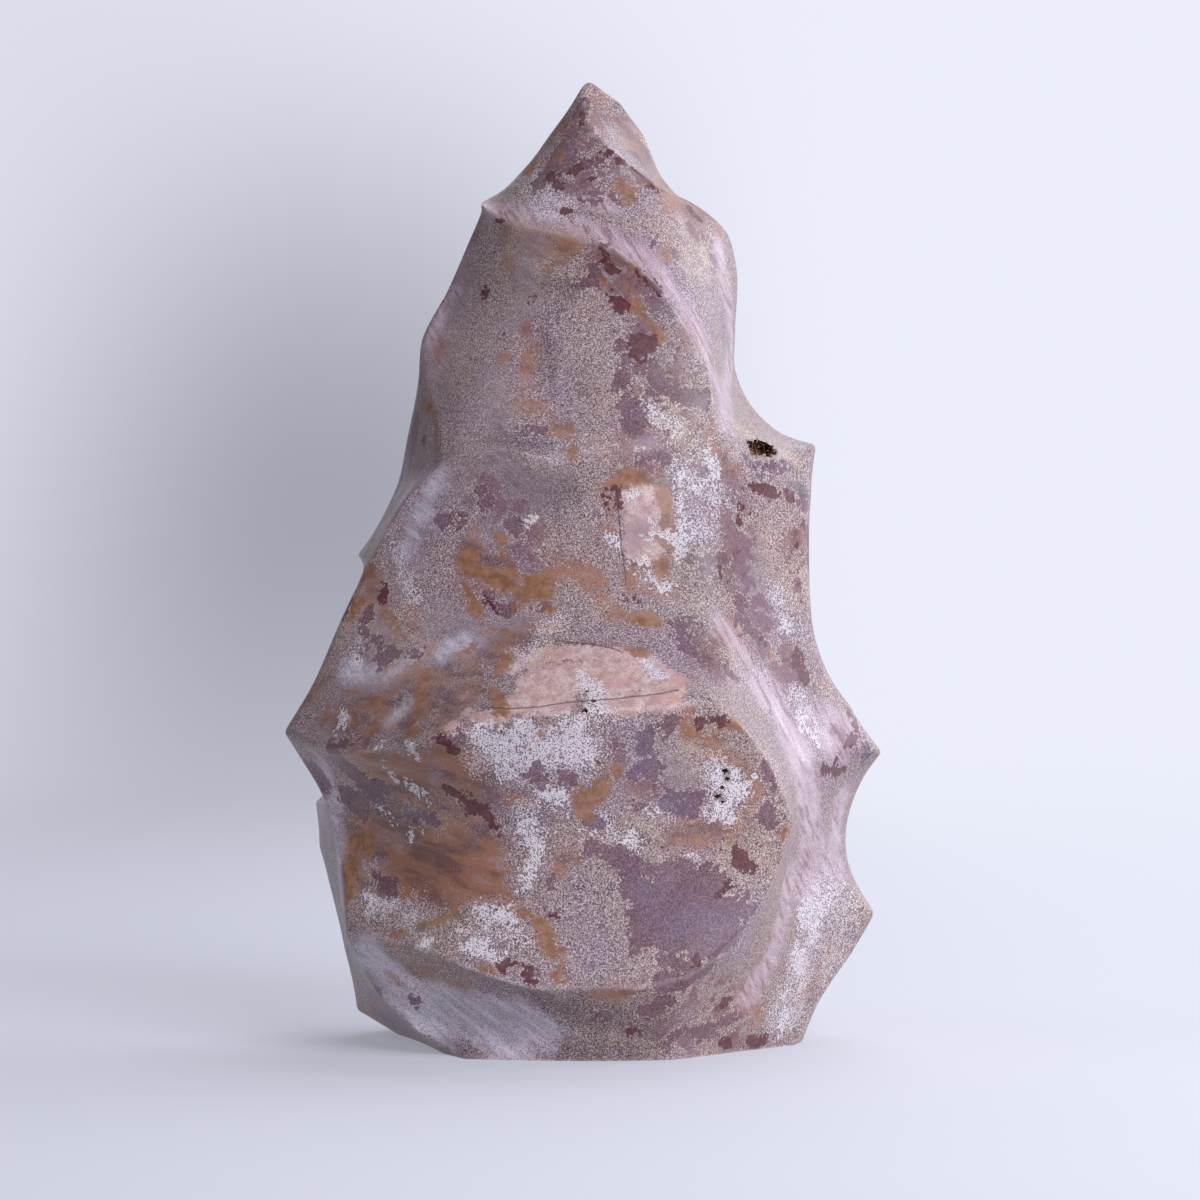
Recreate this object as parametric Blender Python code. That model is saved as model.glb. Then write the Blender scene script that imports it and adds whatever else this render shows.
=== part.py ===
"""A polished ocean jasper flame: one solid stone, standing on its flat cut base.

Sizes are in millimetres until the mesh is made, and the part is built in metres.
X runs to the right of the front view, Y to the back and Z up. The stone is described by the
ridges that its ground hollows leave between them. Each hollow is a few faces between ridges.
"""

import math

import bmesh
import bpy
from mathutils import Vector

MM = 0.001

# How sharp the polisher left a ridge
CRISP = 0.55
EASED = 0.45
SOFT = 0.32

# Fineness of the finished surface
SURFACE_LEVELS = 2
SETTLE_ROUNDS = 5

# How near the smooth surface comes to each kind of point: 1 is right through it
REACH_RIDGE = 1
REACH_OUTLINE = 0.9
REACH_SOFT_RIDGE = 0.6
REACH_HOLLOW = 0.4

# Hollows that show in outline from the front
OUTLINE_HOLLOWS = ("point", "rim", "turn", "lee")

# The ridges, each from its upper end, as points it runs through
RIDGES = {
    # from the tip down the front, over the right shoulder and round the back to the left side
    "crown": [
        (0.5, 0, 150), (0, -2.5, 146.5), (1, -6, 141.5), (5.5, -8, 138), (10, -8, 134),
        (13, -5, 132.5), (18, 1, 130), (22.5, 7, 128), (20, 15, 123.5), (9, 20.5, 119.5),
        (-4, 21.5, 116.5), (-16, 16.5, 113), (-23.5, 8, 110.5), (-25.5, -1, 109),
        (-23, -9, 101), (-22.5, -15, 94),
    ],
    # from the tip down its right side and round the back to the upper left corner
    "nape": [
        (0.5, 0, 150), (5.5, 2, 147), (8.5, 5, 143), (10, 10, 138.5), (5, 13.5, 135.5),
        (-4, 13.5, 133.5), (-12, 8.5, 132),
    ],
    # from the upper left corner across the front to the right corner, then round the back
    "brow": [
        (-16, -1, 130.5), (-11, -8, 127.5), (-4.5, -12.5, 125.5), (2.5, -15.5, 123.5),
        (7.5, -17, 120.5), (12, -17, 116), (16, -17, 110), (18.5, -17.5, 104),
        (19.5, -18.5, 99), (18.5, -20.5, 92.5), (17, -22.5, 84), (18, -24, 74.5),
        (21, -26.5, 64.5), (25, -26, 55.5), (31.5, -20, 49), (39, -12, 46), (46, -4, 45.5),
        (45, 9, 44), (40, 20.5, 42), (29, 31, 39.5), (13, 38, 37.5), (-4, 40.5, 36),
        (-20, 36, 35), (-33, 25, 35.5),
    ],
    # the big arc over the middle hollow, then down the left side to the base
    "arc": [
        (12.5, -22.5, 87.5), (5.5, -24, 87.5), (-1.5, -25, 88.5), (-8, -25.5, 90),
        (-14, -24.5, 91.5), (-19, -22, 91), (-22, -19.5, 89.5), (-27, -17, 85),
        (-31, -14, 78.5), (-33.5, -12, 74), (-37.5, -11, 66), (-41.5, -10, 57),
        (-46, -9, 49), (-43, -10, 43.5), (-40, -11, 38), (-38, -12.5, 32), (-37, -15, 26),
        (-36, -19, 18), (-34, -18.5, 13.5), (-30.5, -18.5, 8.5), (-26, -21, 4),
    ],
    # the ledge on the right that holds the little cavity, then round the back to the left
    "ledge": [
        (21, -20.5, 90), (25.5, -18.5, 89.5), (31, -13.5, 90.5), (35.5, -8, 93),
        (35, 4, 92.5), (32, 14, 91), (25, 23, 89.5), (12, 28, 87), (-3, 29, 84), (-17, 25, 81), (-27.5, 16, 79),
        (-35.5, 4, 76.5),
    ],
    # down the right side between the ledge and the right corner
    "post": [
        (34.5, -11, 84.5), (34.5, -12, 73.5), (35, -12, 65.5), (37, -10, 59), (41, -7, 53),
    ],
    # the shelf on top of the belly, from the left corner to the round face
    "shelf": [
        (-46, -9, 49), (-40, -20, 46.5), (-32.5, -29, 46.5), (-26, -35, 47.5),
        (-20, -38, 50), (-12.5, -40, 52), (-3.5, -40.5, 52.5), (5.5, -40.5, 53),
        (12, -39.5, 54), (17, -38, 54.5),
    ],
    # the right edge of the round front face
    "round": [
        (23, -35.5, 51), (27, -32.5, 46), (30, -30, 40), (31, -29, 35), (29.5, -29, 30),
        (27.5, -30, 25), (23.5, -31.5, 19.5), (19.5, -33, 15.5), (15.5, -34, 13),
    ],
    # the lower edge of the round front face, from right to left
    "hem": [
        (9, -35, 11.5), (2, -35.5, 11.5), (-5.5, -36, 11.5), (-12, -36, 12.5),
        (-18.5, -34.5, 15), (-24.5, -31, 17), (-30, -26, 18),
    ],
    # from the lower right corner inwards, then down to the base
    "flank": [
        (45, 0, 20.5), (40, -6, 25), (35, -12, 28), (31.5, -18, 27.5), (30, -20, 22.5),
        (27.5, -21.5, 16.5), (24.5, -21, 11), (23.5, -19.5, 5.5),
    ],
    # from the lower right corner down the side to the base
    "side": [(41, -1, 13.5), (36.5, -3, 7), (34, -5, 2)],
    # under the round face, left and right
    "fold": [(-7, -33.5, 10), (-2.5, -31.5, 6.5), (0.5, -30, 3)],
    "keel": [(14.5, -31.5, 8.5), (13.5, -29, 4)],
    # down the left side behind the front face
    "heel": [(-42.5, 11, 37), (-42, 9, 30), (-40, 9, 22.5), (-38, 10, 13.5), (-36, 11, 4)],
    # low round the back
    "foot": [
        (44, 10, 19.5), (38.5, 20.5, 17), (30, 28.5, 14.5), (19, 34, 12), (5, 37, 11), (-10, 36, 9.5),
        (-24, 29.5, 8), (-33, 20, 6),
    ],
    # two upright ridges on the back
    "spine": [(11, 33.5, 76), (5, 37, 65), (-4, 39, 54), (-13, 39, 44)],
    "rib": [(8, 39, 25)],
    # the outline of the flat base
    "base": [
        (-18, -26.5, 0), (-6.5, -29, 0), (4, -29.5, 0), (13, -28, 0), (17.5, -23.5, 0),
        (23.5, -15.5, 0), (27.5, -11, 0), (32.5, -5.5, 0), (34, 8, 0), (26, 20, 0),
        (12, 27, 0), (-5, 29, 0), (-20, 25, 0), (-30, 14, 0), (-25.5, -1, 0),
        (-21.5, -18, 0),
    ],
}

# Points down in the hollows, which say how deep each was ground
HOLLOWS = {
    # left of the tip, and its right face
    "point": [(-5.5, 2, 142.5), (-10, 1.5, 136), (-1, 8.5, 141), (10.5, 3, 139.5), (12, 3, 135)],
    # behind the tip
    "neck": [(15, 12, 130), (4, 16.5, 126), (-8, 14.5, 123), (-16.5, 7, 121)],
    # the groove from the tip down to the ledge
    "groove": [
        (-1.5, -10.5, 132.5), (8.5, -12, 128.5), (16.5, -10.5, 120), (20.5, -9, 111),
        (22, -9, 101), (24, -16, 94.5),
    ],
    "turn": [(24, 8, 122), (24, 8.5, 114), (23.5, 8, 107), (24.5, 3, 100), (30, 0, 95.5)],
    # the same groove round the back, and where it comes out on the left
    "back": [(27, 11, 99), (20, 17, 109), (6, 20, 105), (-9, 18, 102), (-21, 10, 98)],
    "lee": [(-26.5, 0, 100.5), (-28, 2, 92), (-30.5, 3, 84)],
    # the tall upper face
    "rim": [(-17.5, 1, 125.5), (-19, 1, 119), (-23, 1, 114)],
    "face": [
        (-10, -13, 116.5), (4, -16.5, 113.5), (-16, -16, 104.5), (-3.5, -19, 102),
        (9, -19.5, 102), (-12.5, -23, 94), (-1.5, -25, 93), (10, -24.5, 92.5),
    ],
    # the middle hollow under the arc, and the foot of the shelf
    "bowl": [(-23.5, -18.5, 75), (-8, -22.5, 77.5), (7, -23.5, 76)],
    "trough": [
        (-31, -19.5, 60), (-20.5, -24, 61.5), (-6.5, -27, 64.5), (7, -28, 64),
        (17.5, -28.5, 60),
    ],
    # the right face under the ledge
    "cheek": [(26, -19, 78), (26.5, -21, 66), (33, -16, 55.5)],
    # the notch on the right side and round the back
    "notch": [
        (35.5, -15, 38.5), (44.5, 1, 41), (41, 2, 33.5), (37, 19, 30), (25, 28.5, 27),
        (-7, 33, 24), (-21, 29, 22.5), (-33, 21, 22),
    ],
    # the round front face
    "belly": [
        (-35, -15, 38.5), (-29.5, -19.5, 28), (-23, -28, 40.5), (-17, -32, 27.5),
        (-8, -36.5, 41), (-3.5, -35.5, 26), (8.5, -37, 41), (10, -35, 26), (21, -33.5, 41),
        (20.5, -32, 27.5),
    ],
    # under the round face
    "under": [(-22, -24, 8.5), (-9.5, -28, 4.5), (6, -31.5, 5.5)],
    # the lower right face
    "lower": [(33.5, -10, 16.5), (29.5, -11.5, 6)],
    # the two big hollows of the back
    "right": [(33, 15, 72), (23, 23, 68), (34, 19, 56), (18, 28.5, 54)],
    "left": [(-12, 26.5, 74), (-24, 19, 70), (-15, 30, 58), (-30, 19, 55)],
}

# The faces between those points
FACES = """
crown0 crown1 crown2 point0
point0 crown2 groove0 brow1 point1
point1 brow1 brow0 nape6
point0 point1 nape6 nape5 point2
crown0 point0 point2 nape2 nape1
point2 nape5 nape4 nape3 nape2
crown2 crown3 crown4 groove1 groove0
groove0 groove1 brow4 brow3 brow2 brow1

crown0 nape1 nape2 point3 crown3 crown2 crown1
point3 point4 crown5 crown4 crown3
nape2 nape3 point4 point3
point4 nape3 neck0 crown7 crown6 crown5
nape3 nape4 neck1 neck0
neck0 neck1 crown9 crown8 crown7
nape4 nape5 neck2 neck1
neck1 neck2 crown10 crown9
nape5 nape6 neck3 neck2
neck2 neck3 crown12 crown11 crown10
nape6 brow0 rim0 neck3
neck3 rim0 rim1 rim2 crown13 crown12

crown4 crown5 crown6 groove2 groove1
groove1 groove2 brow6 brow5 brow4
crown6 crown7 turn0 groove2
groove2 turn0 turn1 groove3
groove2 groove3 brow7 brow6
groove3 turn1 turn2 groove4
groove3 groove4 brow8 brow7
groove4 turn2 turn3 groove5
groove4 groove5 ledge0 brow9 brow8
groove5 turn3 turn4 ledge3 ledge2 ledge1 ledge0

crown7 crown8 back1 turn1 turn0
turn1 back1 back0 turn3 turn2
back0 ledge5 ledge4 ledge3 turn4 turn3
back1 ledge6 ledge5 back0
crown8 crown9 back2 back1
back1 back2 ledge7 ledge6
crown9 crown10 back3 back2
back2 back3 ledge8 ledge7
crown10 crown11 back4 back3
back3 back4 ledge10 ledge9 ledge8
crown11 crown12 crown13 lee0 back4
back4 lee0 lee1 lee2 ledge11 ledge10
crown13 crown14 crown15 lee1 lee0
crown15 arc6 arc7 lee2 lee1
arc7 arc8 arc9 ledge11 lee2

brow0 brow1 face0 rim1 rim0
brow1 brow2 brow3 face1 face0
brow3 brow4 brow5 face1
face1 brow5 brow6 brow7 face4
rim1 face0 face2 crown14 crown13 rim2
face0 face1 face4 face3 face2
face2 face5 arc4 arc5 arc6 crown15 crown14
face2 face3 face6 face5
face5 face6 arc2 arc3 arc4
face3 face4 face7 face6
face4 brow7 brow8 brow9 face7
face7 brow9 brow10 arc0 arc1
face6 face7 arc1 arc2

arc9 arc8 arc7 arc6 arc5 bowl0
bowl0 arc5 arc4 arc3 bowl1
bowl1 arc3 arc2 arc1 bowl2
bowl2 arc1 arc0 brow10 brow11
bowl2 brow11 brow12 trough4 trough3
bowl1 bowl2 trough3 trough2
bowl0 bowl1 trough2 trough1
arc9 bowl0 trough1 trough0 arc10
arc10 trough0 shelf2 shelf1 arc12 arc11
trough0 trough1 shelf4 shelf3 shelf2
trough1 trough2 shelf6 shelf5 shelf4
trough2 trough3 shelf8 shelf7 shelf6
trough3 trough4 shelf9 shelf8
trough4 brow12 brow13 round0 shelf9
brow13 brow14 round1 round0

brow9 ledge0 ledge1 cheek0 brow10
ledge1 ledge2 ledge3 post0 cheek0
brow10 cheek0 cheek1 brow12 brow11
cheek0 post0 post1 cheek1
brow12 cheek1 cheek2 brow14 brow13
cheek1 post1 post2 post3 cheek2
cheek2 post3 post4 brow16 brow15 brow14

brow14 brow15 notch0 round2 round1
brow15 brow16 notch1 notch2 notch0
notch0 notch2 flank0 flank1 flank2
round2 notch0 flank2 flank3 round4 round3
round4 flank3 flank4 round5
round5 flank4 flank5 round6
round6 flank5 flank6 round7
round7 flank6 keel0 round8
flank6 flank7 keel1 keel0
flank7 base5 base4 base3 keel1
flank4 flank3 flank2 flank1 flank0 side0 lower0
lower0 side0 side1 lower1 flank6 flank5 flank4
lower1 base6 base5 flank7 flank6
lower1 side1 side2 base7 base6

arc12 shelf1 belly0 arc14 arc13
shelf1 shelf2 shelf3 belly2 belly0
arc14 belly0 belly1 arc16 arc15
belly0 belly2 belly3 belly1
arc16 belly1 hem6 arc17
belly1 belly3 hem4 hem5 hem6
shelf3 shelf4 shelf5 belly4 belly2
belly2 belly4 belly5 belly3
belly3 belly5 hem2 hem3 hem4
shelf5 shelf6 shelf7 belly6 belly4
belly4 belly6 belly7 belly5
belly5 belly7 hem0 hem1 hem2
shelf7 shelf8 shelf9 belly8 belly6
belly6 belly8 belly9 belly7
belly7 belly9 round7 round8 hem0
shelf9 round0 round1 belly8
belly8 round1 round2 round3 belly9
belly9 round3 round4 round5 round6 round7

arc17 hem6 hem5 under0 arc19 arc18
hem5 hem4 hem3 fold0 under1 under0
under0 under1 base1 base0 base15 arc20 arc19
under1 fold0 fold1 fold2 base2 base1
hem3 hem2 hem1 under2 fold1 fold0
hem1 hem0 round8 keel0 under2
under2 keel0 keel1 base3 base2 fold2 fold1

arc14 arc15 arc16 heel2 heel1 heel0
arc16 arc17 arc18 heel3 heel2
arc18 arc19 arc20 heel4 heel3
arc20 base15 base14 base13 heel4

post0 ledge3 ledge4 ledge5 right0 post1
ledge5 ledge6 right1 right0
ledge6 ledge7 spine0 spine1 right1
post1 right0 right2 post3 post2
right0 right1 right3 right2
right1 spine1 spine2 right3
post3 right2 brow18 brow17 brow16 post4
right2 right3 brow19 brow18
right3 spine2 spine3 brow21 brow20 brow19
spine3 brow22 brow21

ledge7 ledge8 left0 spine1 spine0
ledge8 ledge9 ledge10 left1 left0
ledge10 ledge11 arc9 arc10 left1
left0 left2 spine2 spine1
left0 left1 left3 left2
left1 arc10 arc11 arc12 left3
left2 left3 brow23 brow22 spine3 spine2
left3 arc12 arc13 arc14 heel0 brow23

brow16 brow17 brow18 notch3 notch2 notch1
notch2 notch3 foot1 foot0 flank0
brow18 brow19 notch4 notch3
notch3 notch4 foot2 foot1
brow19 brow20 rib0 notch4
notch4 rib0 foot4 foot3 foot2
brow20 brow21 notch5 rib0
rib0 notch5 foot5 foot4
brow21 brow22 notch6 notch5
notch5 notch6 foot6 foot5
brow22 brow23 notch7 notch6
notch6 notch7 foot7 foot6
brow23 heel0 heel1 heel2 notch7
notch7 heel2 heel3 heel4 foot7

side0 flank0 foot0 foot1 base8 base7 side2 side1
foot1 foot2 base9 base8
foot2 foot3 base10 base9
foot3 foot4 foot5 base11 base10
foot5 foot6 base12 base11
foot6 foot7 heel4 base13 base12
base0 base1 base2 base3 base4 base5 base6 base7 base8 base9 base10 base11 base12 base13 base14 base15
"""

# How sharp each stretch of ridge is
STRETCHES = [
    ("crown0 crown1 crown2 crown3 crown4 crown5 crown6", CRISP),
    ("crown6 crown7 crown8", SOFT),
    ("crown8 crown9 crown10 crown11 crown12", EASED),
    ("crown12 crown13", SOFT),
    ("crown13 crown14 crown15 arc6", EASED),
    ("crown0 nape1 nape2", SOFT),
    ("nape2 nape3 nape4 nape5 nape6 brow0", CRISP),
    ("brow0 brow1 brow2 brow3 brow4 brow5 brow6 brow7 brow8", CRISP),
    ("brow8 brow9 brow10", SOFT),
    ("brow12 brow13 brow14 brow15", SOFT),
    ("brow15 brow16 brow17 brow18 brow19 brow20 brow21 brow22 brow23 heel0 arc14", CRISP),
    ("arc1 arc2 arc3", SOFT),
    ("arc3 arc4", EASED),
    ("arc4 arc5 arc6 arc7 arc8 arc9 arc10 arc11 arc12 arc13 arc14", CRISP),
    ("arc14 arc15 arc16 arc17 arc18 arc19 arc20 base15", CRISP),
    ("ledge0 ledge1", 0),
    ("ledge1 ledge2", SOFT),
    ("ledge2 ledge3", EASED),
    ("ledge3 ledge4 ledge5 ledge6 ledge7 ledge8 ledge9 ledge10 ledge11 arc9", CRISP),
    ("ledge3 post0 post1 post2 post3 post4 brow16", EASED),
    ("arc12 shelf1 shelf2 shelf3", CRISP),
    ("shelf3 shelf4", EASED),
    ("shelf4 shelf5 shelf6 shelf7 shelf8 shelf9", SOFT),
    ("shelf9 round0", EASED),
    ("round0 round1 round2 round3 round4 round5 round6 round7 round8", CRISP),
    ("round8 hem0 hem1 hem2 hem3 hem4 hem5 hem6 arc17", CRISP),
    ("hem3 fold0 fold1 fold2 base2", EASED),
    ("round8 keel0 keel1 base3", EASED),
    ("flank0 flank1 flank2", SOFT),
    ("flank2 flank3 flank4 flank5 flank6 flank7 base5", EASED),
    ("flank0 side0 side1 side2 base7", CRISP),
    ("heel0 heel1 heel2 heel3 heel4 base13", EASED),
    ("flank0 foot0 foot1 foot2 foot3 foot4 foot5 foot6 foot7 heel4", CRISP),
    ("ledge7 spine0 spine1 spine2 spine3 brow22", CRISP),
    ("brow20 rib0 foot4", EASED),
    ("base0 base1 base2 base3 base4 base5 base6 base7 base8 base9 base10 base11 base12", 1),
    ("base12 base13 base14 base15 base0", 1),
]

# Where a ridge comes to a point instead of running on smoothly
CORNERS = {
    "crown0": EASED, "brow0": CRISP, "brow16": CRISP, "arc12": CRISP, "arc17": EASED,
    "ledge3": CRISP, "ledge11": CRISP, "flank0": CRISP, "heel4": CRISP, "base0": CRISP,
    "base7": CRISP,
}

# The little crystal-lined cavity in the ledge
CAVITY_AT = (27.2, -12.5, 92.4)
CAVITY_SIZE = (4.8, 9, 3.4)
CAVITY_TILT = 17


def clear_scene():
    for thing in list(bpy.data.objects):
        bpy.data.objects.remove(thing)


def named_points():
    """Every point by name. The nape and the shelf begin on a point of another ridge."""
    points = {}
    for group in (RIDGES, HOLLOWS):
        for ridge, places in group.items():
            for number, place in enumerate(places):
                points[f"{ridge}{number}"] = Vector(place) * MM
    return points


def ridge_sharpness():
    sharpness = {}
    for names, value in STRETCHES:
        names = names.split()
        for first, second in zip(names, names[1:]):
            sharpness[frozenset((first, second))] = value
    return sharpness


def build_cage():
    points = named_points()
    faces = [line.split() for line in FACES.splitlines() if line.strip()]
    names = sorted({name for face in faces for name in face})
    number = {name: place for place, name in enumerate(names)}
    mesh = bpy.data.meshes.new("stone")
    mesh.from_pydata([points[name] for name in names], [], [[number[n] for n in f] for f in faces])
    mesh.validate()
    stone = bpy.data.objects.new("stone", mesh)
    bpy.context.collection.objects.link(stone)
    return stone, names


def face_outwards(mesh):
    """Turn each face so that the whole cage faces out."""
    work = bmesh.new()
    work.from_mesh(mesh)
    bmesh.ops.recalc_face_normals(work, faces=work.faces)
    work.to_mesh(mesh)
    work.free()


def crease(mesh, names):
    sharpness = ridge_sharpness()
    edges = mesh.attributes.new("crease_edge", "FLOAT", "EDGE")
    for edge in mesh.edges:
        ends = frozenset(names[place] for place in edge.vertices)
        edges.data[edge.index].value = sharpness.get(ends, 0)
    corners = mesh.attributes.new("crease_vert", "FLOAT", "POINT")
    for place, name in enumerate(names):
        corners.data[place].value = CORNERS.get(name, 0)


def reach_of(name, crisp_points):
    if name in crisp_points:
        return REACH_RIDGE
    if name.startswith(OUTLINE_HOLLOWS):
        return REACH_OUTLINE
    return REACH_SOFT_RIDGE if name.startswith(tuple(RIDGES)) else REACH_HOLLOW


def settled(stone):
    """Where the smooth surface has come to at each point of the cage."""
    graph = bpy.context.evaluated_depsgraph_get()
    graph.update()
    smooth = stone.evaluated_get(graph).data
    return [smooth.vertices[place].co.copy() for place in range(len(stone.data.vertices))]


def settle(stone, names):
    """Shift the cage until the smooth surface runs through the crisp ridges, near the rest."""
    crisp_points = {name for line, value in STRETCHES if value > SOFT for name in line.split()}
    aims = []
    for name, point, start in zip(names, stone.data.vertices, settled(stone)):
        aims.append(start.lerp(point.co, reach_of(name, crisp_points)))
    for _ in range(SETTLE_ROUNDS):
        for point, aim, reached in zip(stone.data.vertices, aims, settled(stone)):
            point.co += aim - reached
        stone.data.update()


def cut_cavity(stone):
    """A small hollow with an uneven mouth, cut by a hidden helper."""
    mesh = bpy.data.meshes.new("cavity_cutter")
    work = bmesh.new()
    bmesh.ops.create_uvsphere(work, u_segments=14, v_segments=9, radius=0.5)
    work.to_mesh(mesh)
    work.free()
    cutter = bpy.data.objects.new("cavity_cutter", mesh)
    cutter.location = Vector(CAVITY_AT) * MM
    cutter.scale = Vector(CAVITY_SIZE) * MM
    cutter.rotation_euler = (0, math.radians(CAVITY_TILT), 0)
    cutter.hide_render = True
    cutter.display_type = "WIRE"
    bpy.context.collection.objects.link(cutter)
    cut = stone.modifiers.new("cavity", "BOOLEAN")
    cut.operation = "DIFFERENCE"
    cut.solver = "EXACT"
    cut.object = cutter


clear_scene()
stone, names = build_cage()
face_outwards(stone.data)
crease(stone.data, names)
smoothing = stone.modifiers.new("smoothing", "SUBSURF")
smoothing.levels = SURFACE_LEVELS
smoothing.render_levels = SURFACE_LEVELS
settle(stone, names)
cut_cavity(stone)
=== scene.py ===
"""A polished ocean jasper flame, dressed: the stone, the crystals in its cavity and the studio.

Sizes are in millimetres until a mesh is made. X runs to the right of the front view, Y to the
back and Z up. The stone's ridges, faces and creases are those of the solid that it replaces,
but for the tip, which is a little rounder, and the upper left corner, which comes a millimetre
or so nearer the photograph. Its markings are painted as patches on the surface, whose ragged
edges the material makes. A few of the patches are painted light: a highlight along the crisp
ridges, a sheen in the pale streaks and shade under the belly and the shelf. The studio's paper
has painted shade and a painted shadow of the stone in its glow.
"""

import math
import random

import bmesh
import bpy
import numpy
from mathutils import Matrix, Vector, noise
from mathutils.bvhtree import BVHTree


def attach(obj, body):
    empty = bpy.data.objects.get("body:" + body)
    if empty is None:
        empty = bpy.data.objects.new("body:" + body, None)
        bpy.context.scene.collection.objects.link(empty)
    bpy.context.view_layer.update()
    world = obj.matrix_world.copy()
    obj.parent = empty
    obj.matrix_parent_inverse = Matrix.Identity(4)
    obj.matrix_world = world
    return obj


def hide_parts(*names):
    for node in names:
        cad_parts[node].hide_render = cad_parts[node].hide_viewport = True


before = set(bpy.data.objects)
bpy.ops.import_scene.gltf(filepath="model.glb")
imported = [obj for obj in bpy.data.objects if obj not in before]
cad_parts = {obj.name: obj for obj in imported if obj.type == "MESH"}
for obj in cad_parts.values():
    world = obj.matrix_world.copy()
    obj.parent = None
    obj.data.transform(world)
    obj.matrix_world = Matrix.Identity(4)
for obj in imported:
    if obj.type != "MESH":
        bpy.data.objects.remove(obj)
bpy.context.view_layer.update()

MM = 0.001
NODE = "stone"

# How sharp the polisher left a ridge
CRISP = 0.55
EASED = 0.45
SOFT = 0.32

# Fineness of the surface while it settles, and of the finished one
SETTLE_LEVELS = 2
SURFACE_LEVELS = 4
SETTLE_ROUNDS = 5

# How near the smooth surface comes to each kind of point: 1 is right through it
REACH_RIDGE = 1
REACH_OUTLINE = 0.9
REACH_SOFT_RIDGE = 0.6
REACH_HOLLOW = 0.4

# Hollows that show in outline from the front
OUTLINE_HOLLOWS = ("point", "rim", "turn", "lee")

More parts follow.
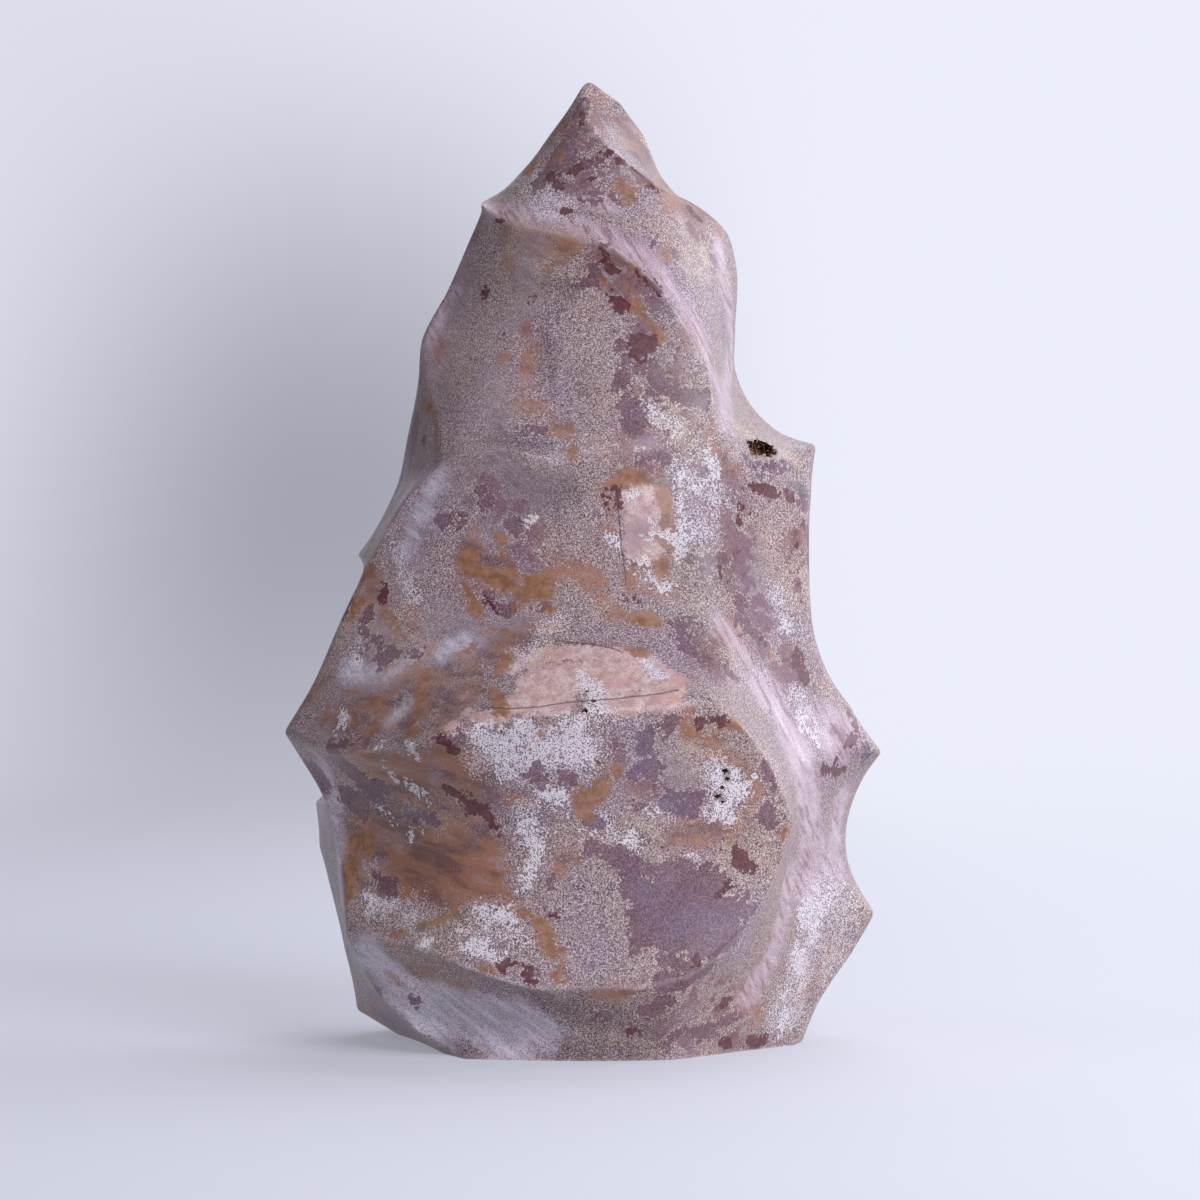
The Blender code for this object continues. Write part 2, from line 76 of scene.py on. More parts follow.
# The ridges, each from its upper end, as points it runs through
RIDGES = {
    # from the tip down the front, over the right shoulder and round the back to the left side
    "crown": [
        (0.5, 0, 150), (0, -2.5, 146.5), (1, -6, 141.5), (5.5, -8, 138), (10, -8, 134), (13, -5, 132.5),
        (18, 1, 130), (22.5, 7, 128), (20, 15, 123.5), (9, 20.5, 119.5), (-4, 21.5, 116.5),
        (-16, 16.5, 113), (-23.5, 8, 110.5), (-25.5, -1, 109), (-23, -9, 101), (-22.5, -15, 94),
    ],
    # from the tip down its right side and round the back to the upper left corner
    "nape": [
        (0.5, 0, 150), (5.5, 2, 147), (8.5, 5, 143), (10, 10, 138.5), (5, 13.5, 135.5),
        (-4, 13.5, 133.5), (-12.6, 8, 133.2),
    ],
    # from the upper left corner across the front to the right corner, then round the back
    "brow": [
        (-16.2, -1, 130.8), (-11, -8, 127.5), (-4.5, -12.5, 125.5), (2.5, -15.5, 123.5),
        (7.5, -17, 120.5), (12, -17, 116), (16, -17, 110), (18.5, -17.5, 104), (19.5, -18.5, 99),
        (18.5, -20.5, 92.5), (17, -22.5, 84), (18, -24, 74.5), (21, -26.5, 64.5), (25, -26, 55.5),
        (31.5, -20, 49), (39, -12, 46), (46, -4, 45.5), (45, 9, 44), (40, 20.5, 42), (29, 31, 39.5),
        (13, 38, 37.5), (-4, 40.5, 36), (-20, 36, 35), (-33, 25, 35.5),
    ],
    # the big arc over the middle hollow, then down the left side to the base
    "arc": [
        (12.5, -22.5, 87.5), (5.5, -24, 87.5), (-1.5, -25, 88.5), (-8, -25.5, 90), (-14, -24.5, 91.5),
        (-19, -22, 91), (-22, -19.5, 89.5), (-27, -17, 85), (-31, -14, 78.5), (-33.5, -12, 74),
        (-37.5, -11, 66), (-41.5, -10, 57), (-46, -9, 49), (-43, -10, 43.5), (-40, -11, 38),
        (-38, -12.5, 32), (-37, -15, 26), (-36, -19, 18), (-34, -18.5, 13.5), (-30.5, -18.5, 8.5),
        (-26, -21, 4),
    ],
    # the ledge on the right that holds the little cavity, then round the back to the left
    "ledge": [
        (21, -20.5, 90), (25.5, -18.5, 89.5), (31, -13.5, 90.5), (35.5, -8, 93), (35, 4, 92.5),
        (32, 14, 91), (25, 23, 89.5), (12, 28, 87), (-3, 29, 84), (-17, 25, 81), (-27.5, 16, 79),
        (-35.5, 4, 76.5),
    ],
    # down the right side between the ledge and the right corner
    "post": [
        (34.5, -11, 84.5), (34.5, -12, 73.5), (35, -12, 65.5), (37, -10, 59), (41, -7, 53),
    ],
    # the shelf on top of the belly, from the left corner to the round face
    "shelf": [
        (-46, -9, 49), (-40, -20, 46.5), (-32.5, -29, 46.5), (-26, -35, 47.5), (-20, -38, 50),
        (-12.5, -40, 52), (-3.5, -40.5, 52.5), (5.5, -40.5, 53), (12, -39.5, 54), (17, -38, 54.5),
    ],
    # the right edge of the round front face
    "round": [
        (23, -35.5, 51), (27, -32.5, 46), (30, -30, 40), (31, -29, 35), (29.5, -29, 30),
        (27.5, -30, 25), (23.5, -31.5, 19.5), (19.5, -33, 15.5), (15.5, -34, 13),
    ],
    # the lower edge of the round front face, from right to left
    "hem": [
        (9, -35, 11.5), (2, -35.5, 11.5), (-5.5, -36, 11.5), (-12, -36, 12.5), (-18.5, -34.5, 15),
        (-24.5, -31, 17), (-30, -26, 18),
    ],
    # from the lower right corner inwards, then down to the base
    "flank": [
        (45, 0, 20.5), (40, -6, 25), (35, -12, 28), (31.5, -18, 27.5), (30, -20, 22.5),
        (27.5, -21.5, 16.5), (24.5, -21, 11), (23.5, -19.5, 5.5),
    ],
    # from the lower right corner down the side to the base
    "side": [(41, -1, 13.5), (36.5, -3, 7), (34, -5, 2)],
    # under the round face, left and right
    "fold": [(-7, -33.5, 10), (-2.5, -31.5, 6.5), (0.5, -30, 3)],
    "keel": [(14.5, -31.5, 8.5), (13.5, -29, 4)],
    # down the left side behind the front face
    "heel": [(-42.5, 11, 37), (-42, 9, 30), (-40, 9, 22.5), (-38, 10, 13.5), (-36, 11, 4)],
    # low round the back
    "foot": [
        (44, 10, 19.5), (38.5, 20.5, 17), (30, 28.5, 14.5), (19, 34, 12), (5, 37, 11), (-10, 36, 9.5),
        (-24, 29.5, 8), (-33, 20, 6),
    ],
    # two upright ridges on the back
    "spine": [(11, 33.5, 76), (5, 37, 65), (-4, 39, 54), (-13, 39, 44)],
    "rib": [(8, 39, 25)],
    # the outline of the flat base
    "base": [
        (-18, -26.5, 0), (-6.5, -29, 0), (4, -29.5, 0), (13, -28, 0), (17.5, -23.5, 0),
        (23.5, -15.5, 0), (27.5, -11, 0), (32.5, -5.5, 0), (34, 8, 0), (26, 20, 0), (12, 27, 0),
        (-5, 29, 0), (-20, 25, 0), (-30, 14, 0), (-25.5, -1, 0), (-21.5, -18, 0),
    ],
}

# Points down in the hollows, which say how deep each was ground
HOLLOWS = {
    # left of the tip, and its right face
    "point": [(-5.5, 2, 142.5), (-10, 1.5, 136), (-1, 8.5, 141), (9.8, 3, 139.5), (11.8, 3, 135)],
    # behind the tip
    "neck": [(15, 12, 130), (4, 16.5, 126), (-8, 14.5, 123), (-16.5, 7, 121)],
    # the groove from the tip down to the ledge
    "groove": [
        (-1.5, -10.5, 132.5), (8.5, -12, 128.5), (16.5, -10.5, 120), (20.5, -9, 111), (22, -9, 101),
        (24, -16, 94.5),
    ],
    "turn": [(24, 8, 122), (24, 8.5, 114), (23.5, 8, 107), (24.5, 3, 100), (30, 0, 95.5)],
    # the same groove round the back, and where it comes out on the left
    "back": [(27, 11, 99), (20, 17, 109), (6, 20, 105), (-9, 18, 102), (-21, 10, 98)],
    "lee": [(-26.5, 0, 100.5), (-28, 2, 92), (-30.5, 3, 84)],
    # the tall upper face
    "rim": [(-17.9, 1, 127), (-19, 1, 119), (-23, 1, 114)],
    "face": [
        (-10, -13, 116.5), (4, -16.5, 113.5), (-16, -16, 104.5), (-3.5, -19, 102), (9, -19.5, 102),
        (-12.5, -23, 94), (-1.5, -25, 93), (10, -24.5, 92.5),
    ],
    # the middle hollow under the arc, and the foot of the shelf
    "bowl": [(-23.5, -18.5, 75), (-8, -22.5, 77.5), (7, -23.5, 76)],
    "trough": [
        (-31, -19.5, 60), (-20.5, -24, 61.5), (-6.5, -27, 64.5), (7, -28, 64), (17.5, -28.5, 60),
    ],
    # the right face under the ledge
    "cheek": [(26, -19, 78), (26.5, -21, 66), (33, -16, 55.5)],
    # the notch on the right side and round the back
    "notch": [
        (35.5, -15, 38.5), (44.5, 1, 41), (41, 2, 33.5), (37, 19, 30), (25, 28.5, 27), (-7, 33, 24),
        (-21, 29, 22.5), (-33, 21, 22),
    ],
    # the round front face
    "belly": [
        (-35, -15, 38.5), (-29.5, -19.5, 28), (-23, -28, 40.5), (-17, -32, 27.5), (-8, -36.5, 41),
        (-3.5, -35.5, 26), (8.5, -37, 41), (10, -35, 26), (21, -33.5, 41), (20.5, -32, 27.5),
    ],
    # under the round face
    "under": [(-22, -24, 8.5), (-9.5, -28, 4.5), (6, -31.5, 5.5)],
    # the lower right face
    "lower": [(33.5, -10, 16.5), (29.5, -11.5, 6)],
    # the two big hollows of the back
    "right": [(33, 15, 72), (23, 23, 68), (34, 19, 56), (18, 28.5, 54)],
    "left": [(-12, 26.5, 74), (-24, 19, 70), (-15, 30, 58), (-30, 19, 55)],
}

# The faces between those points
FACES = """
crown0 crown1 crown2 point0
point0 crown2 groove0 brow1 point1
point1 brow1 brow0 nape6
point0 point1 nape6 nape5 point2
crown0 point0 point2 nape2 nape1
point2 nape5 nape4 nape3 nape2
crown2 crown3 crown4 groove1 groove0
groove0 groove1 brow4 brow3 brow2 brow1

crown0 nape1 nape2 point3 crown3 crown2 crown1
point3 point4 crown5 crown4 crown3
nape2 nape3 point4 point3
point4 nape3 neck0 crown7 crown6 crown5
nape3 nape4 neck1 neck0
neck0 neck1 crown9 crown8 crown7
nape4 nape5 neck2 neck1
neck1 neck2 crown10 crown9
nape5 nape6 neck3 neck2
neck2 neck3 crown12 crown11 crown10
nape6 brow0 rim0 neck3
neck3 rim0 rim1 rim2 crown13 crown12

crown4 crown5 crown6 groove2 groove1
groove1 groove2 brow6 brow5 brow4
crown6 crown7 turn0 groove2
groove2 turn0 turn1 groove3
groove2 groove3 brow7 brow6
groove3 turn1 turn2 groove4
groove3 groove4 brow8 brow7
groove4 turn2 turn3 groove5
groove4 groove5 ledge0 brow9 brow8
groove5 turn3 turn4 ledge3 ledge2 ledge1 ledge0

crown7 crown8 back1 turn1 turn0
turn1 back1 back0 turn3 turn2
back0 ledge5 ledge4 ledge3 turn4 turn3
back1 ledge6 ledge5 back0
crown8 crown9 back2 back1
back1 back2 ledge7 ledge6
crown9 crown10 back3 back2
back2 back3 ledge8 ledge7
crown10 crown11 back4 back3
back3 back4 ledge10 ledge9 ledge8
crown11 crown12 crown13 lee0 back4
back4 lee0 lee1 lee2 ledge11 ledge10
crown13 crown14 crown15 lee1 lee0
crown15 arc6 arc7 lee2 lee1
arc7 arc8 arc9 ledge11 lee2

brow0 brow1 face0 rim1 rim0
brow1 brow2 brow3 face1 face0
brow3 brow4 brow5 face1
face1 brow5 brow6 brow7 face4
rim1 face0 face2 crown14 crown13 rim2
face0 face1 face4 face3 face2
face2 face5 arc4 arc5 arc6 crown15 crown14
face2 face3 face6 face5
face5 face6 arc2 arc3 arc4
face3 face4 face7 face6
face4 brow7 brow8 brow9 face7
face7 brow9 brow10 arc0 arc1
face6 face7 arc1 arc2

arc9 arc8 arc7 arc6 arc5 bowl0
bowl0 arc5 arc4 arc3 bowl1
bowl1 arc3 arc2 arc1 bowl2
bowl2 arc1 arc0 brow10 brow11
bowl2 brow11 brow12 trough4 trough3
bowl1 bowl2 trough3 trough2
bowl0 bowl1 trough2 trough1
arc9 bowl0 trough1 trough0 arc10
arc10 trough0 shelf2 shelf1 arc12 arc11
trough0 trough1 shelf4 shelf3 shelf2
trough1 trough2 shelf6 shelf5 shelf4
trough2 trough3 shelf8 shelf7 shelf6
trough3 trough4 shelf9 shelf8
trough4 brow12 brow13 round0 shelf9
brow13 brow14 round1 round0

brow9 ledge0 ledge1 cheek0 brow10
ledge1 ledge2 ledge3 post0 cheek0
brow10 cheek0 cheek1 brow12 brow11
cheek0 post0 post1 cheek1
brow12 cheek1 cheek2 brow14 brow13
cheek1 post1 post2 post3 cheek2
cheek2 post3 post4 brow16 brow15 brow14

brow14 brow15 notch0 round2 round1
brow15 brow16 notch1 notch2 notch0
notch0 notch2 flank0 flank1 flank2
round2 notch0 flank2 flank3 round4 round3
round4 flank3 flank4 round5
round5 flank4 flank5 round6
round6 flank5 flank6 round7
round7 flank6 keel0 round8
flank6 flank7 keel1 keel0
flank7 base5 base4 base3 keel1
flank4 flank3 flank2 flank1 flank0 side0 lower0
lower0 side0 side1 lower1 flank6 flank5 flank4
lower1 base6 base5 flank7 flank6
lower1 side1 side2 base7 base6

arc12 shelf1 belly0 arc14 arc13
shelf1 shelf2 shelf3 belly2 belly0
arc14 belly0 belly1 arc16 arc15
belly0 belly2 belly3 belly1
arc16 belly1 hem6 arc17
belly1 belly3 hem4 hem5 hem6
shelf3 shelf4 shelf5 belly4 belly2
belly2 belly4 belly5 belly3
belly3 belly5 hem2 hem3 hem4
shelf5 shelf6 shelf7 belly6 belly4
belly4 belly6 belly7 belly5
belly5 belly7 hem0 hem1 hem2
shelf7 shelf8 shelf9 belly8 belly6
belly6 belly8 belly9 belly7
belly7 belly9 round7 round8 hem0
shelf9 round0 round1 belly8
belly8 round1 round2 round3 belly9
belly9 round3 round4 round5 round6 round7

arc17 hem6 hem5 under0 arc19 arc18
hem5 hem4 hem3 fold0 under1 under0
under0 under1 base1 base0 base15 arc20 arc19
under1 fold0 fold1 fold2 base2 base1
hem3 hem2 hem1 under2 fold1 fold0
hem1 hem0 round8 keel0 under2
under2 keel0 keel1 base3 base2 fold2 fold1

arc14 arc15 arc16 heel2 heel1 heel0
arc16 arc17 arc18 heel3 heel2
arc18 arc19 arc20 heel4 heel3
arc20 base15 base14 base13 heel4

post0 ledge3 ledge4 ledge5 right0 post1
ledge5 ledge6 right1 right0
ledge6 ledge7 spine0 spine1 right1
post1 right0 right2 post3 post2
right0 right1 right3 right2
right1 spine1 spine2 right3
post3 right2 brow18 brow17 brow16 post4
right2 right3 brow19 brow18
right3 spine2 spine3 brow21 brow20 brow19
spine3 brow22 brow21

ledge7 ledge8 left0 spine1 spine0
ledge8 ledge9 ledge10 left1 left0
ledge10 ledge11 arc9 arc10 left1
left0 left2 spine2 spine1
left0 left1 left3 left2
left1 arc10 arc11 arc12 left3
left2 left3 brow23 brow22 spine3 spine2
left3 arc12 arc13 arc14 heel0 brow23

brow16 brow17 brow18 notch3 notch2 notch1
notch2 notch3 foot1 foot0 flank0
brow18 brow19 notch4 notch3
notch3 notch4 foot2 foot1
brow19 brow20 rib0 notch4
notch4 rib0 foot4 foot3 foot2
brow20 brow21 notch5 rib0
rib0 notch5 foot5 foot4
brow21 brow22 notch6 notch5
notch5 notch6 foot6 foot5
brow22 brow23 notch7 notch6
notch6 notch7 foot7 foot6
brow23 heel0 heel1 heel2 notch7
notch7 heel2 heel3 heel4 foot7

side0 flank0 foot0 foot1 base8 base7 side2 side1
foot1 foot2 base9 base8
foot2 foot3 base10 base9
foot3 foot4 foot5 base11 base10
foot5 foot6 base12 base11
foot6 foot7 heel4 base13 base12
base0 base1 base2 base3 base4 base5 base6 base7 base8 base9 base10 base11 base12 base13 base14 base15
"""

# How sharp each stretch of ridge is
STRETCHES = [
    ("crown0 crown1", EASED),
    ("crown1 crown2 crown3 crown4 crown5 crown6", CRISP),
    ("crown6 crown7 crown8", SOFT),
    ("crown8 crown9 crown10 crown11 crown12", EASED),
    ("crown12 crown13", SOFT),
    ("crown13 crown14 crown15 arc6", EASED),
    ("crown0 nape1 nape2", EASED),
    ("nape2 nape3 nape4 nape5 nape6 brow0", CRISP),
    ("brow0 brow1 brow2 brow3 brow4 brow5 brow6 brow7 brow8", CRISP),
    ("brow8 brow9 brow10", SOFT),
    ("brow12 brow13 brow14 brow15", SOFT),
    ("brow15 brow16 brow17 brow18 brow19 brow20 brow21 brow22 brow23 heel0 arc14", CRISP),
    ("arc1 arc2 arc3", SOFT),
    ("arc3 arc4", EASED),
    ("arc4 arc5 arc6 arc7 arc8 arc9 arc10 arc11 arc12 arc13 arc14", CRISP),
    ("arc14 arc15 arc16 arc17 arc18 arc19 arc20 base15", CRISP),
    ("ledge0 ledge1", 0),
    ("ledge1 ledge2", SOFT),
    ("ledge2 ledge3", EASED),
    ("ledge3 ledge4 ledge5 ledge6 ledge7 ledge8 ledge9 ledge10 ledge11 arc9", CRISP),
    ("ledge3 post0 post1 post2 post3 post4 brow16", EASED),
    ("arc12 shelf1 shelf2 shelf3", CRISP),
    ("shelf3 shelf4", EASED),
    ("shelf4 shelf5 shelf6 shelf7 shelf8 shelf9", SOFT),
    ("shelf9 round0", EASED),
    ("round0 round1 round2 round3 round4 round5 round6 round7 round8", CRISP),
    ("round8 hem0 hem1 hem2 hem3 hem4 hem5 hem6 arc17", CRISP),
    ("hem3 fold0 fold1 fold2 base2", EASED),
    ("round8 keel0 keel1 base3", EASED),
    ("flank0 flank1 flank2", SOFT),
    ("flank2 flank3 flank4 flank5 flank6 flank7 base5", EASED),
    ("flank0 side0 side1 side2 base7", CRISP),
    ("heel0 heel1 heel2 heel3 heel4 base13", EASED),
    ("flank0 foot0 foot1 foot2 foot3 foot4 foot5 foot6 foot7 heel4", CRISP),
    ("ledge7 spine0 spine1 spine2 spine3 brow22", CRISP),
    ("brow20 rib0 foot4", EASED),
    ("base0 base1 base2 base3 base4 base5 base6 base7 base8 base9 base10 base11 base12", 1),
    ("base12 base13 base14 base15 base0", 1),
]

# Where a ridge comes to a point instead of running on smoothly
CORNERS = {
    "brow0": EASED, "brow16": CRISP, "arc12": CRISP, "arc17": EASED,
    "ledge3": CRISP, "ledge11": CRISP, "flank0": CRISP, "heel4": CRISP, "base0": CRISP,
    "base7": CRISP,
}

# The little crystal-lined cavity in the ledge: its middle, its size each way and its tilt
CAVITY_AT = (27.2, -12.5, 92.4)
CAVITY_SIZE = (4.8, 9, 3.4)
CAVITY_TILT = 17

# Where the camera stood, which also says what a place on the front view means
CAMERA_AT = (2.4, -700, 69.1)
CAMERA_LENS = 134.2

# The patches of each colour on the front, as strokes. A stroke is its half width, then the places
# it runs through on the front view, as millimetres to the right of the axis and above the base.
MARKINGS = {
    # broad pale washes under everything else
    "tan": [
        (3.5, (-12, 124), (-6, 124), (-9, 119)), (1.5, (12, 129), (11.5, 127)),
        (1.3, (17, 126), (19, 123), (20, 121)), (1, (15, 124), (17, 123.5)),
        (1.2, (18, 129), (17, 127.5)), (1.4, (0.5, 101.5)), (1.2, (0.5, 105.5)), (1, (-1, 109)),
        (1.6, (15.5, 95.5)), (1.2, (14.5, 98.5)), (2.4, (27, 80), (29, 76), (31, 72)),
        (2, (33, 73), (32, 69)), (1, (26.5, 82)), (0.9, (24.3, 96), (26, 95), (28, 94.4), (30.5, 93.4)),
        (1.2, (31.5, 92), (33, 91.5)), (1.2, (-10, 90.5), (-8, 90)), (1, (3.5, 69)), (0.8, (26, 59.3)),
        (0.8, (27, 45), (27.5, 44)), (2, (9, 34), (11, 32.5), (10, 30.5)), (0.5, (6, 34), (5, 31.5)),
        (1.6, (15, 42), (17, 44), (17.5, 41)), (0.9, (26, 33), (27.5, 32.2)), (0.9, (19, 62), (22, 61)),
        (0.6, (-2.3, 12.3), (-2, 11)), (1.5, (23, 31), (22, 28), (27, 29)),
        (1.2, (41.5, 22), (42.5, 20.5)), (1.2, (6, 0), (9, -1)), (0.9, (-9, 18), (-18, 18.3)),
        (0.8, (38, 56.5), (37, 54.5)),
    ],
    "lilac": [
        (1.5, (7, 130), (9, 131)), (1.2, (3, 129), (6, 129.5)), (2, (8, 126), (13, 121), (16, 116)),
        (2, (19, 113), (20, 106), (21, 100)), (1.8, (22.5, 96), (21.5, 99)), (2, (-18.5, 112.5)),
        (1.5, (-15, 107.5)), (1.4, (-11, 103)), (2.5, (-19, 100), (-16, 97)), (3, (-5, 112), (-3, 100)),
        (1.2, (-13, 96), (-8, 95.6), (-5, 94.8)), (1.2, (24, 93), (26, 91), (29, 90), (32, 90)),
        (1.2, (-22, 88), (-24.5, 83), (-26, 79), (-26.5, 74)), (2.5, (-25, 74), (-23, 70)),
        (1.2, (-5.8, 84)), (1, (-8.5, 86.5)), (1.8, (8.5, 81.5), (7.5, 79), (9.5, 80.5)),
        (0.9, (13.4, 87), (13, 84)), (1.2, (17, 84), (18, 80)),
        (1.2, (-36, 57), (-37.5, 59), (-35.5, 61)), (1, (-33, 56.4), (-39, 54)),
        (1.1, (-29.5, 54.5), (-29.3, 52)), (1, (-28, 50), (-28.5, 48.5)),
        (0.9, (3, 63.6), (7, 63), (10, 62), (13, 60.5), (16, 58.5)), (1.3, (14.5, 61), (14.5, 59)),
        (2.2, (7, 48), (8, 46), (8, 43)), (1.4, (5, 39.5), (4.5, 37), (3, 35.3)),
        (1.2, (-31, 39), (-28, 36.7), (-25.5, 35.3)), (1.6, (12, 38.5), (14, 36.5)),
        (1.8, (10, 24), (11, 20), (14, 18)), (1.5, (18, 20), (22, 19)), (1, (31, 66), (31.5, 64.5)),
        (2.5, (33, 51), (35, 46)), (1.6, (44.5, 47), (43.5, 44)), (1.2, (28, 59), (27, 57.5)),
        (3, (-30, 11), (-26, 4), (-20, 6)), (3, (-18, 3), (-10, 4), (-4, 1)),
        (1.5, (-15, 8.5), (-8, 6)), (2, (27, 20), (24, 14)), (2, (-39, 27), (-40, 33)),
        (1.5, (-24, 27), (-20, 27.5)), (3, (0, 25), (0, 14)),
    ],
    # warm browns that the stone shows through
    "rust": [
        (0.6, (2, 146.7), (3, 147)), (0.3, (1.5, 145.3), (4.5, 144.2)), (0.6, (-0.5, 134.8)),
        (1, (-2.5, 124.5), (-1.5, 125.5)), (0.8, (-6.5, 121.5)), (0.7, (-12.5, 121)), (0.9, (21, 127)),
        (0.8, (13, 123.5)), (0.8, (-22.5, 108.5)), (0.8, (-12.8, 107)),
        (0.7, (-9, 112), (-8.5, 108), (-9.5, 104), (-9.8, 100)), (1, (-9, 99.5), (-6.5, 98.5)),
        (0.6, (-5.5, 96), (-2.5, 95.5)), (0.6, (3, 91.3)), (0.5, (4.3, 88.9), (5.5, 88.3)),
        (0.7, (16, 112), (17.3, 109)), (1, (19.5, 96), (20, 93.5), (21.5, 91), (23, 89)),
        (0.7, (-29, 84.5), (-30, 82)), (0.7, (-17, 80)), (0.9, (-17, 76.5)),
        (1.8, (-4, 74), (-1, 73), (2, 72)), (0.9, (3.2, 86), (3.5, 84), (4.3, 82)),
        (0.5, (3.5, 80.3), (4.5, 79.5)), (1.2, (12.5, 79.3), (10.3, 77.5)),
        (0.5, (8, 70.5), (12, 70.5), (14, 71.3)), (0.35, (7, 73), (7.5, 72)), (0.8, (5, 67), (7, 66.5)),
        (0.5, (-14, 62), (-10, 63.5), (-4, 65)), (0.5, (-20, 60.5), (-15, 61), (-11, 62.5)),
        (1, (-23.8, 61.5), (-25, 59.7)), (1, (-30, 58.7), (-26, 59)), (1, (-30, 57.4), (-25, 57.6)),
        (0.6, (-32, 56), (-36, 54.6), (-38.5, 53)), (1.2, (-38, 51), (-40, 51.5)),
        (1, (-43, 54), (-40, 57)), (1, (-34, 53), (-31, 53)), (1, (-33.5, 72), (-34, 69)),
        (0.9, (-27.5, 67), (-27.3, 65)), (0.9, (-12.5, 49), (-11.5, 47.7)),
        (0.7, (-5.5, 48.3), (-6.8, 49.5)), (0.3, (0, 62.3), (3, 61.8), (6, 61)),
        (1.3, (-34, 44.5), (-32.8, 42.7), (-31.5, 41)), (1.9, (-29, 44), (-28.7, 42), (-27, 40.7)),
        (1.4, (-26, 43.5), (-25.5, 40.5)), (0.9, (-30, 39.6), (-27.5, 38.2), (-25, 37)),
        (1.8, (-22, 45.5), (-21, 42.5), (-19, 41.5)), (1.2, (-18.5, 44), (-17.3, 42)),
        (1.3, (-31, 33.7), (-27, 32.9), (-22, 31.8), (-17, 31), (-14.5, 30.2)),
        (2.3, (-29, 29.5), (-24, 29), (-18, 29), (-15, 28.5)),
        (2.5, (-29, 25.5), (-24, 24.6), (-18, 25), (-15, 26.5)), (1.3, (-28, 23), (-20, 22.4)),
        (1.5, (-33, 33), (-35, 35)), (0.8, (-12.5, 23), (-11.5, 21.5)), (0.6, (-12, 38.2), (-9, 38)),
        (0.8, (2.5, 46.3), (2.8, 44.8), (2.8, 43.2)), (1, (15.5, 49.8), (16.5, 49)),
        (0.7, (18, 46.8), (21, 46.8)), (1.1, (16, 34), (20, 33.3), (23.5, 34)),
        (1.6, (13.8, 31.5), (17, 31.5), (19, 30.8)), (0.8, (20.5, 44.6), (24, 44.5), (26, 42.5)),
        (0.8, (26.5, 41), (27.5, 39), (26, 37), (24.5, 35.6)), (1, (16, 24), (19, 23.5)),
        (0.5, (31.3, 33.3), (31, 32)), (1.5, (-3, 29), (-4, 27)), (0.5, (-7.5, 22.8)),
        (0.4, (20.3, 63), (20.2, 61.6)), (0.7, (-29, 9)), (0.8, (-27, 11), (-23, 10), (-19.5, 8.6)),
        (0.8, (3, 7.5), (6, 7.5)), (1.1, (24.8, 8.5), (25.5, 6.5), (27, 4.5), (27, 3.3)),
        (0.4, (30, 18), (28, 14.5), (26.5, 11.5), (25.5, 9.5)), (0.7, (37.5, 17.5), (37.5, 15)),
        (0.8, (35, 12.5), (36, 12)), (0.5, (32.5, 11.5), (32, 9.5)), (0.6, (32, 7.3)),
        (0.7, (39, 15), (36.5, 10), (34, 7)), (0.5, (-39.8, 33), (-39, 27), (-38.3, 22)),
        (0.8, (23, 66), (23.6, 64.5)), (0.9, (24.5, 61.5)),
    ],
    "pink": [
        (1.5, (-11, 58.5), (-5, 60.8), (2, 61), (9, 59.8), (14, 57)),
        (3.6, (-7, 56.2), (0, 57), (8, 57)), (2.8, (10, 56.3), (13.5, 55)), (2.4, (-10, 53), (-4, 53)),
        (2.3, (7.2, 85.6), (10.8, 85.2)), (2.2, (8, 81.6), (10.8, 81.4)), (2.2, (8, 78), (10, 76.6)),
        (1.9, (4, 53), (12, 53.2)), (1, (-9, 60), (-2, 60.8), (5, 60.3)),
        (1.3, (-13, 50.8), (-16, 51), (-18.5, 51.5)), (1.2, (-20.5, 49.5)),
        (0.9, (6.5, 84.5), (6.3, 87)),
    ],
    "coral": [
        (0.8, (4.5, 55.8), (6, 56.5)), (0.9, (12, 54), (15, 53.4)), (0.9, (14.3, 57), (15.5, 55.8)),
        (0.9, (-21.5, 49.3), (-20.6, 49.2)), (0.5, (-17.5, 50.5)), (0.4, (1, 48), (1.6, 47.6)),
        (0.6, (-12, 50)), (0.4, (29, 60.4)), (0.5, (-19, 54)),
    ],
    "white": [
        (0.7, (19, 92), (20, 89.5), (21, 88)), (0.9, (15, 88), (15, 84), (15.2, 80.5)),
        (0.6, (17.5, 86.5), (18.3, 88)), (0.7, (10, 98.8)), (0.4, (5.5, 95)), (0.35, (20, 100.3)),
        (0.7, (7, 86), (7.9, 85.3)), (0.35, (11, 81.5)), (0.4, (10.5, 79.3), (12, 79.5)),
        (0.8, (13.2, 79.6), (14.6, 77.7), (15, 75.6)), (0.5, (9.6, 75.6), (9.9, 72.9), (12, 71.5)),
        (0.5, (10.2, 75), (10, 73.6)), (0.3, (12.3, 71.4), (13.7, 72)), (0.4, (9, 75.2)),
        (0.45, (-8.3, 81.3)), (0.5, (5, 77.5), (4.5, 79)), (1.5, (-12, 48.6), (-6, 48.2)),
        (2, (-16.5, 48), (-15, 47.1), (-13, 46.3), (-10, 47), (-8, 46.6)),
        (2.2, (-8, 46), (-4, 46.5), (0, 46)), (1.3, (-13, 44.3), (-6, 44.3), (0.5, 44.7)),
        (0.9, (-3.7, 49.8), (-1.5, 48.7)), (0.5, (-6.4, 48.6)), (1, (-13.5, 42), (-9, 42.6)),
        (1.3, (0.6, 56), (1.2, 53.6), (1.2, 51.6)), (0.5, (-0.3, 57.5)),
        (0.55, (9.3, 59.4), (11.6, 57.3)), (1.3, (-6, 39.6), (-4, 38.6), (-3.5, 37)), (0.7, (2, 41.4)),
        (1.2, (-9, 33), (-8, 30), (-8.4, 27.5), (-9.2, 24.5)),
        (0.2, (-32.2, 46.5), (-31.4, 43.5), (-30, 41)),
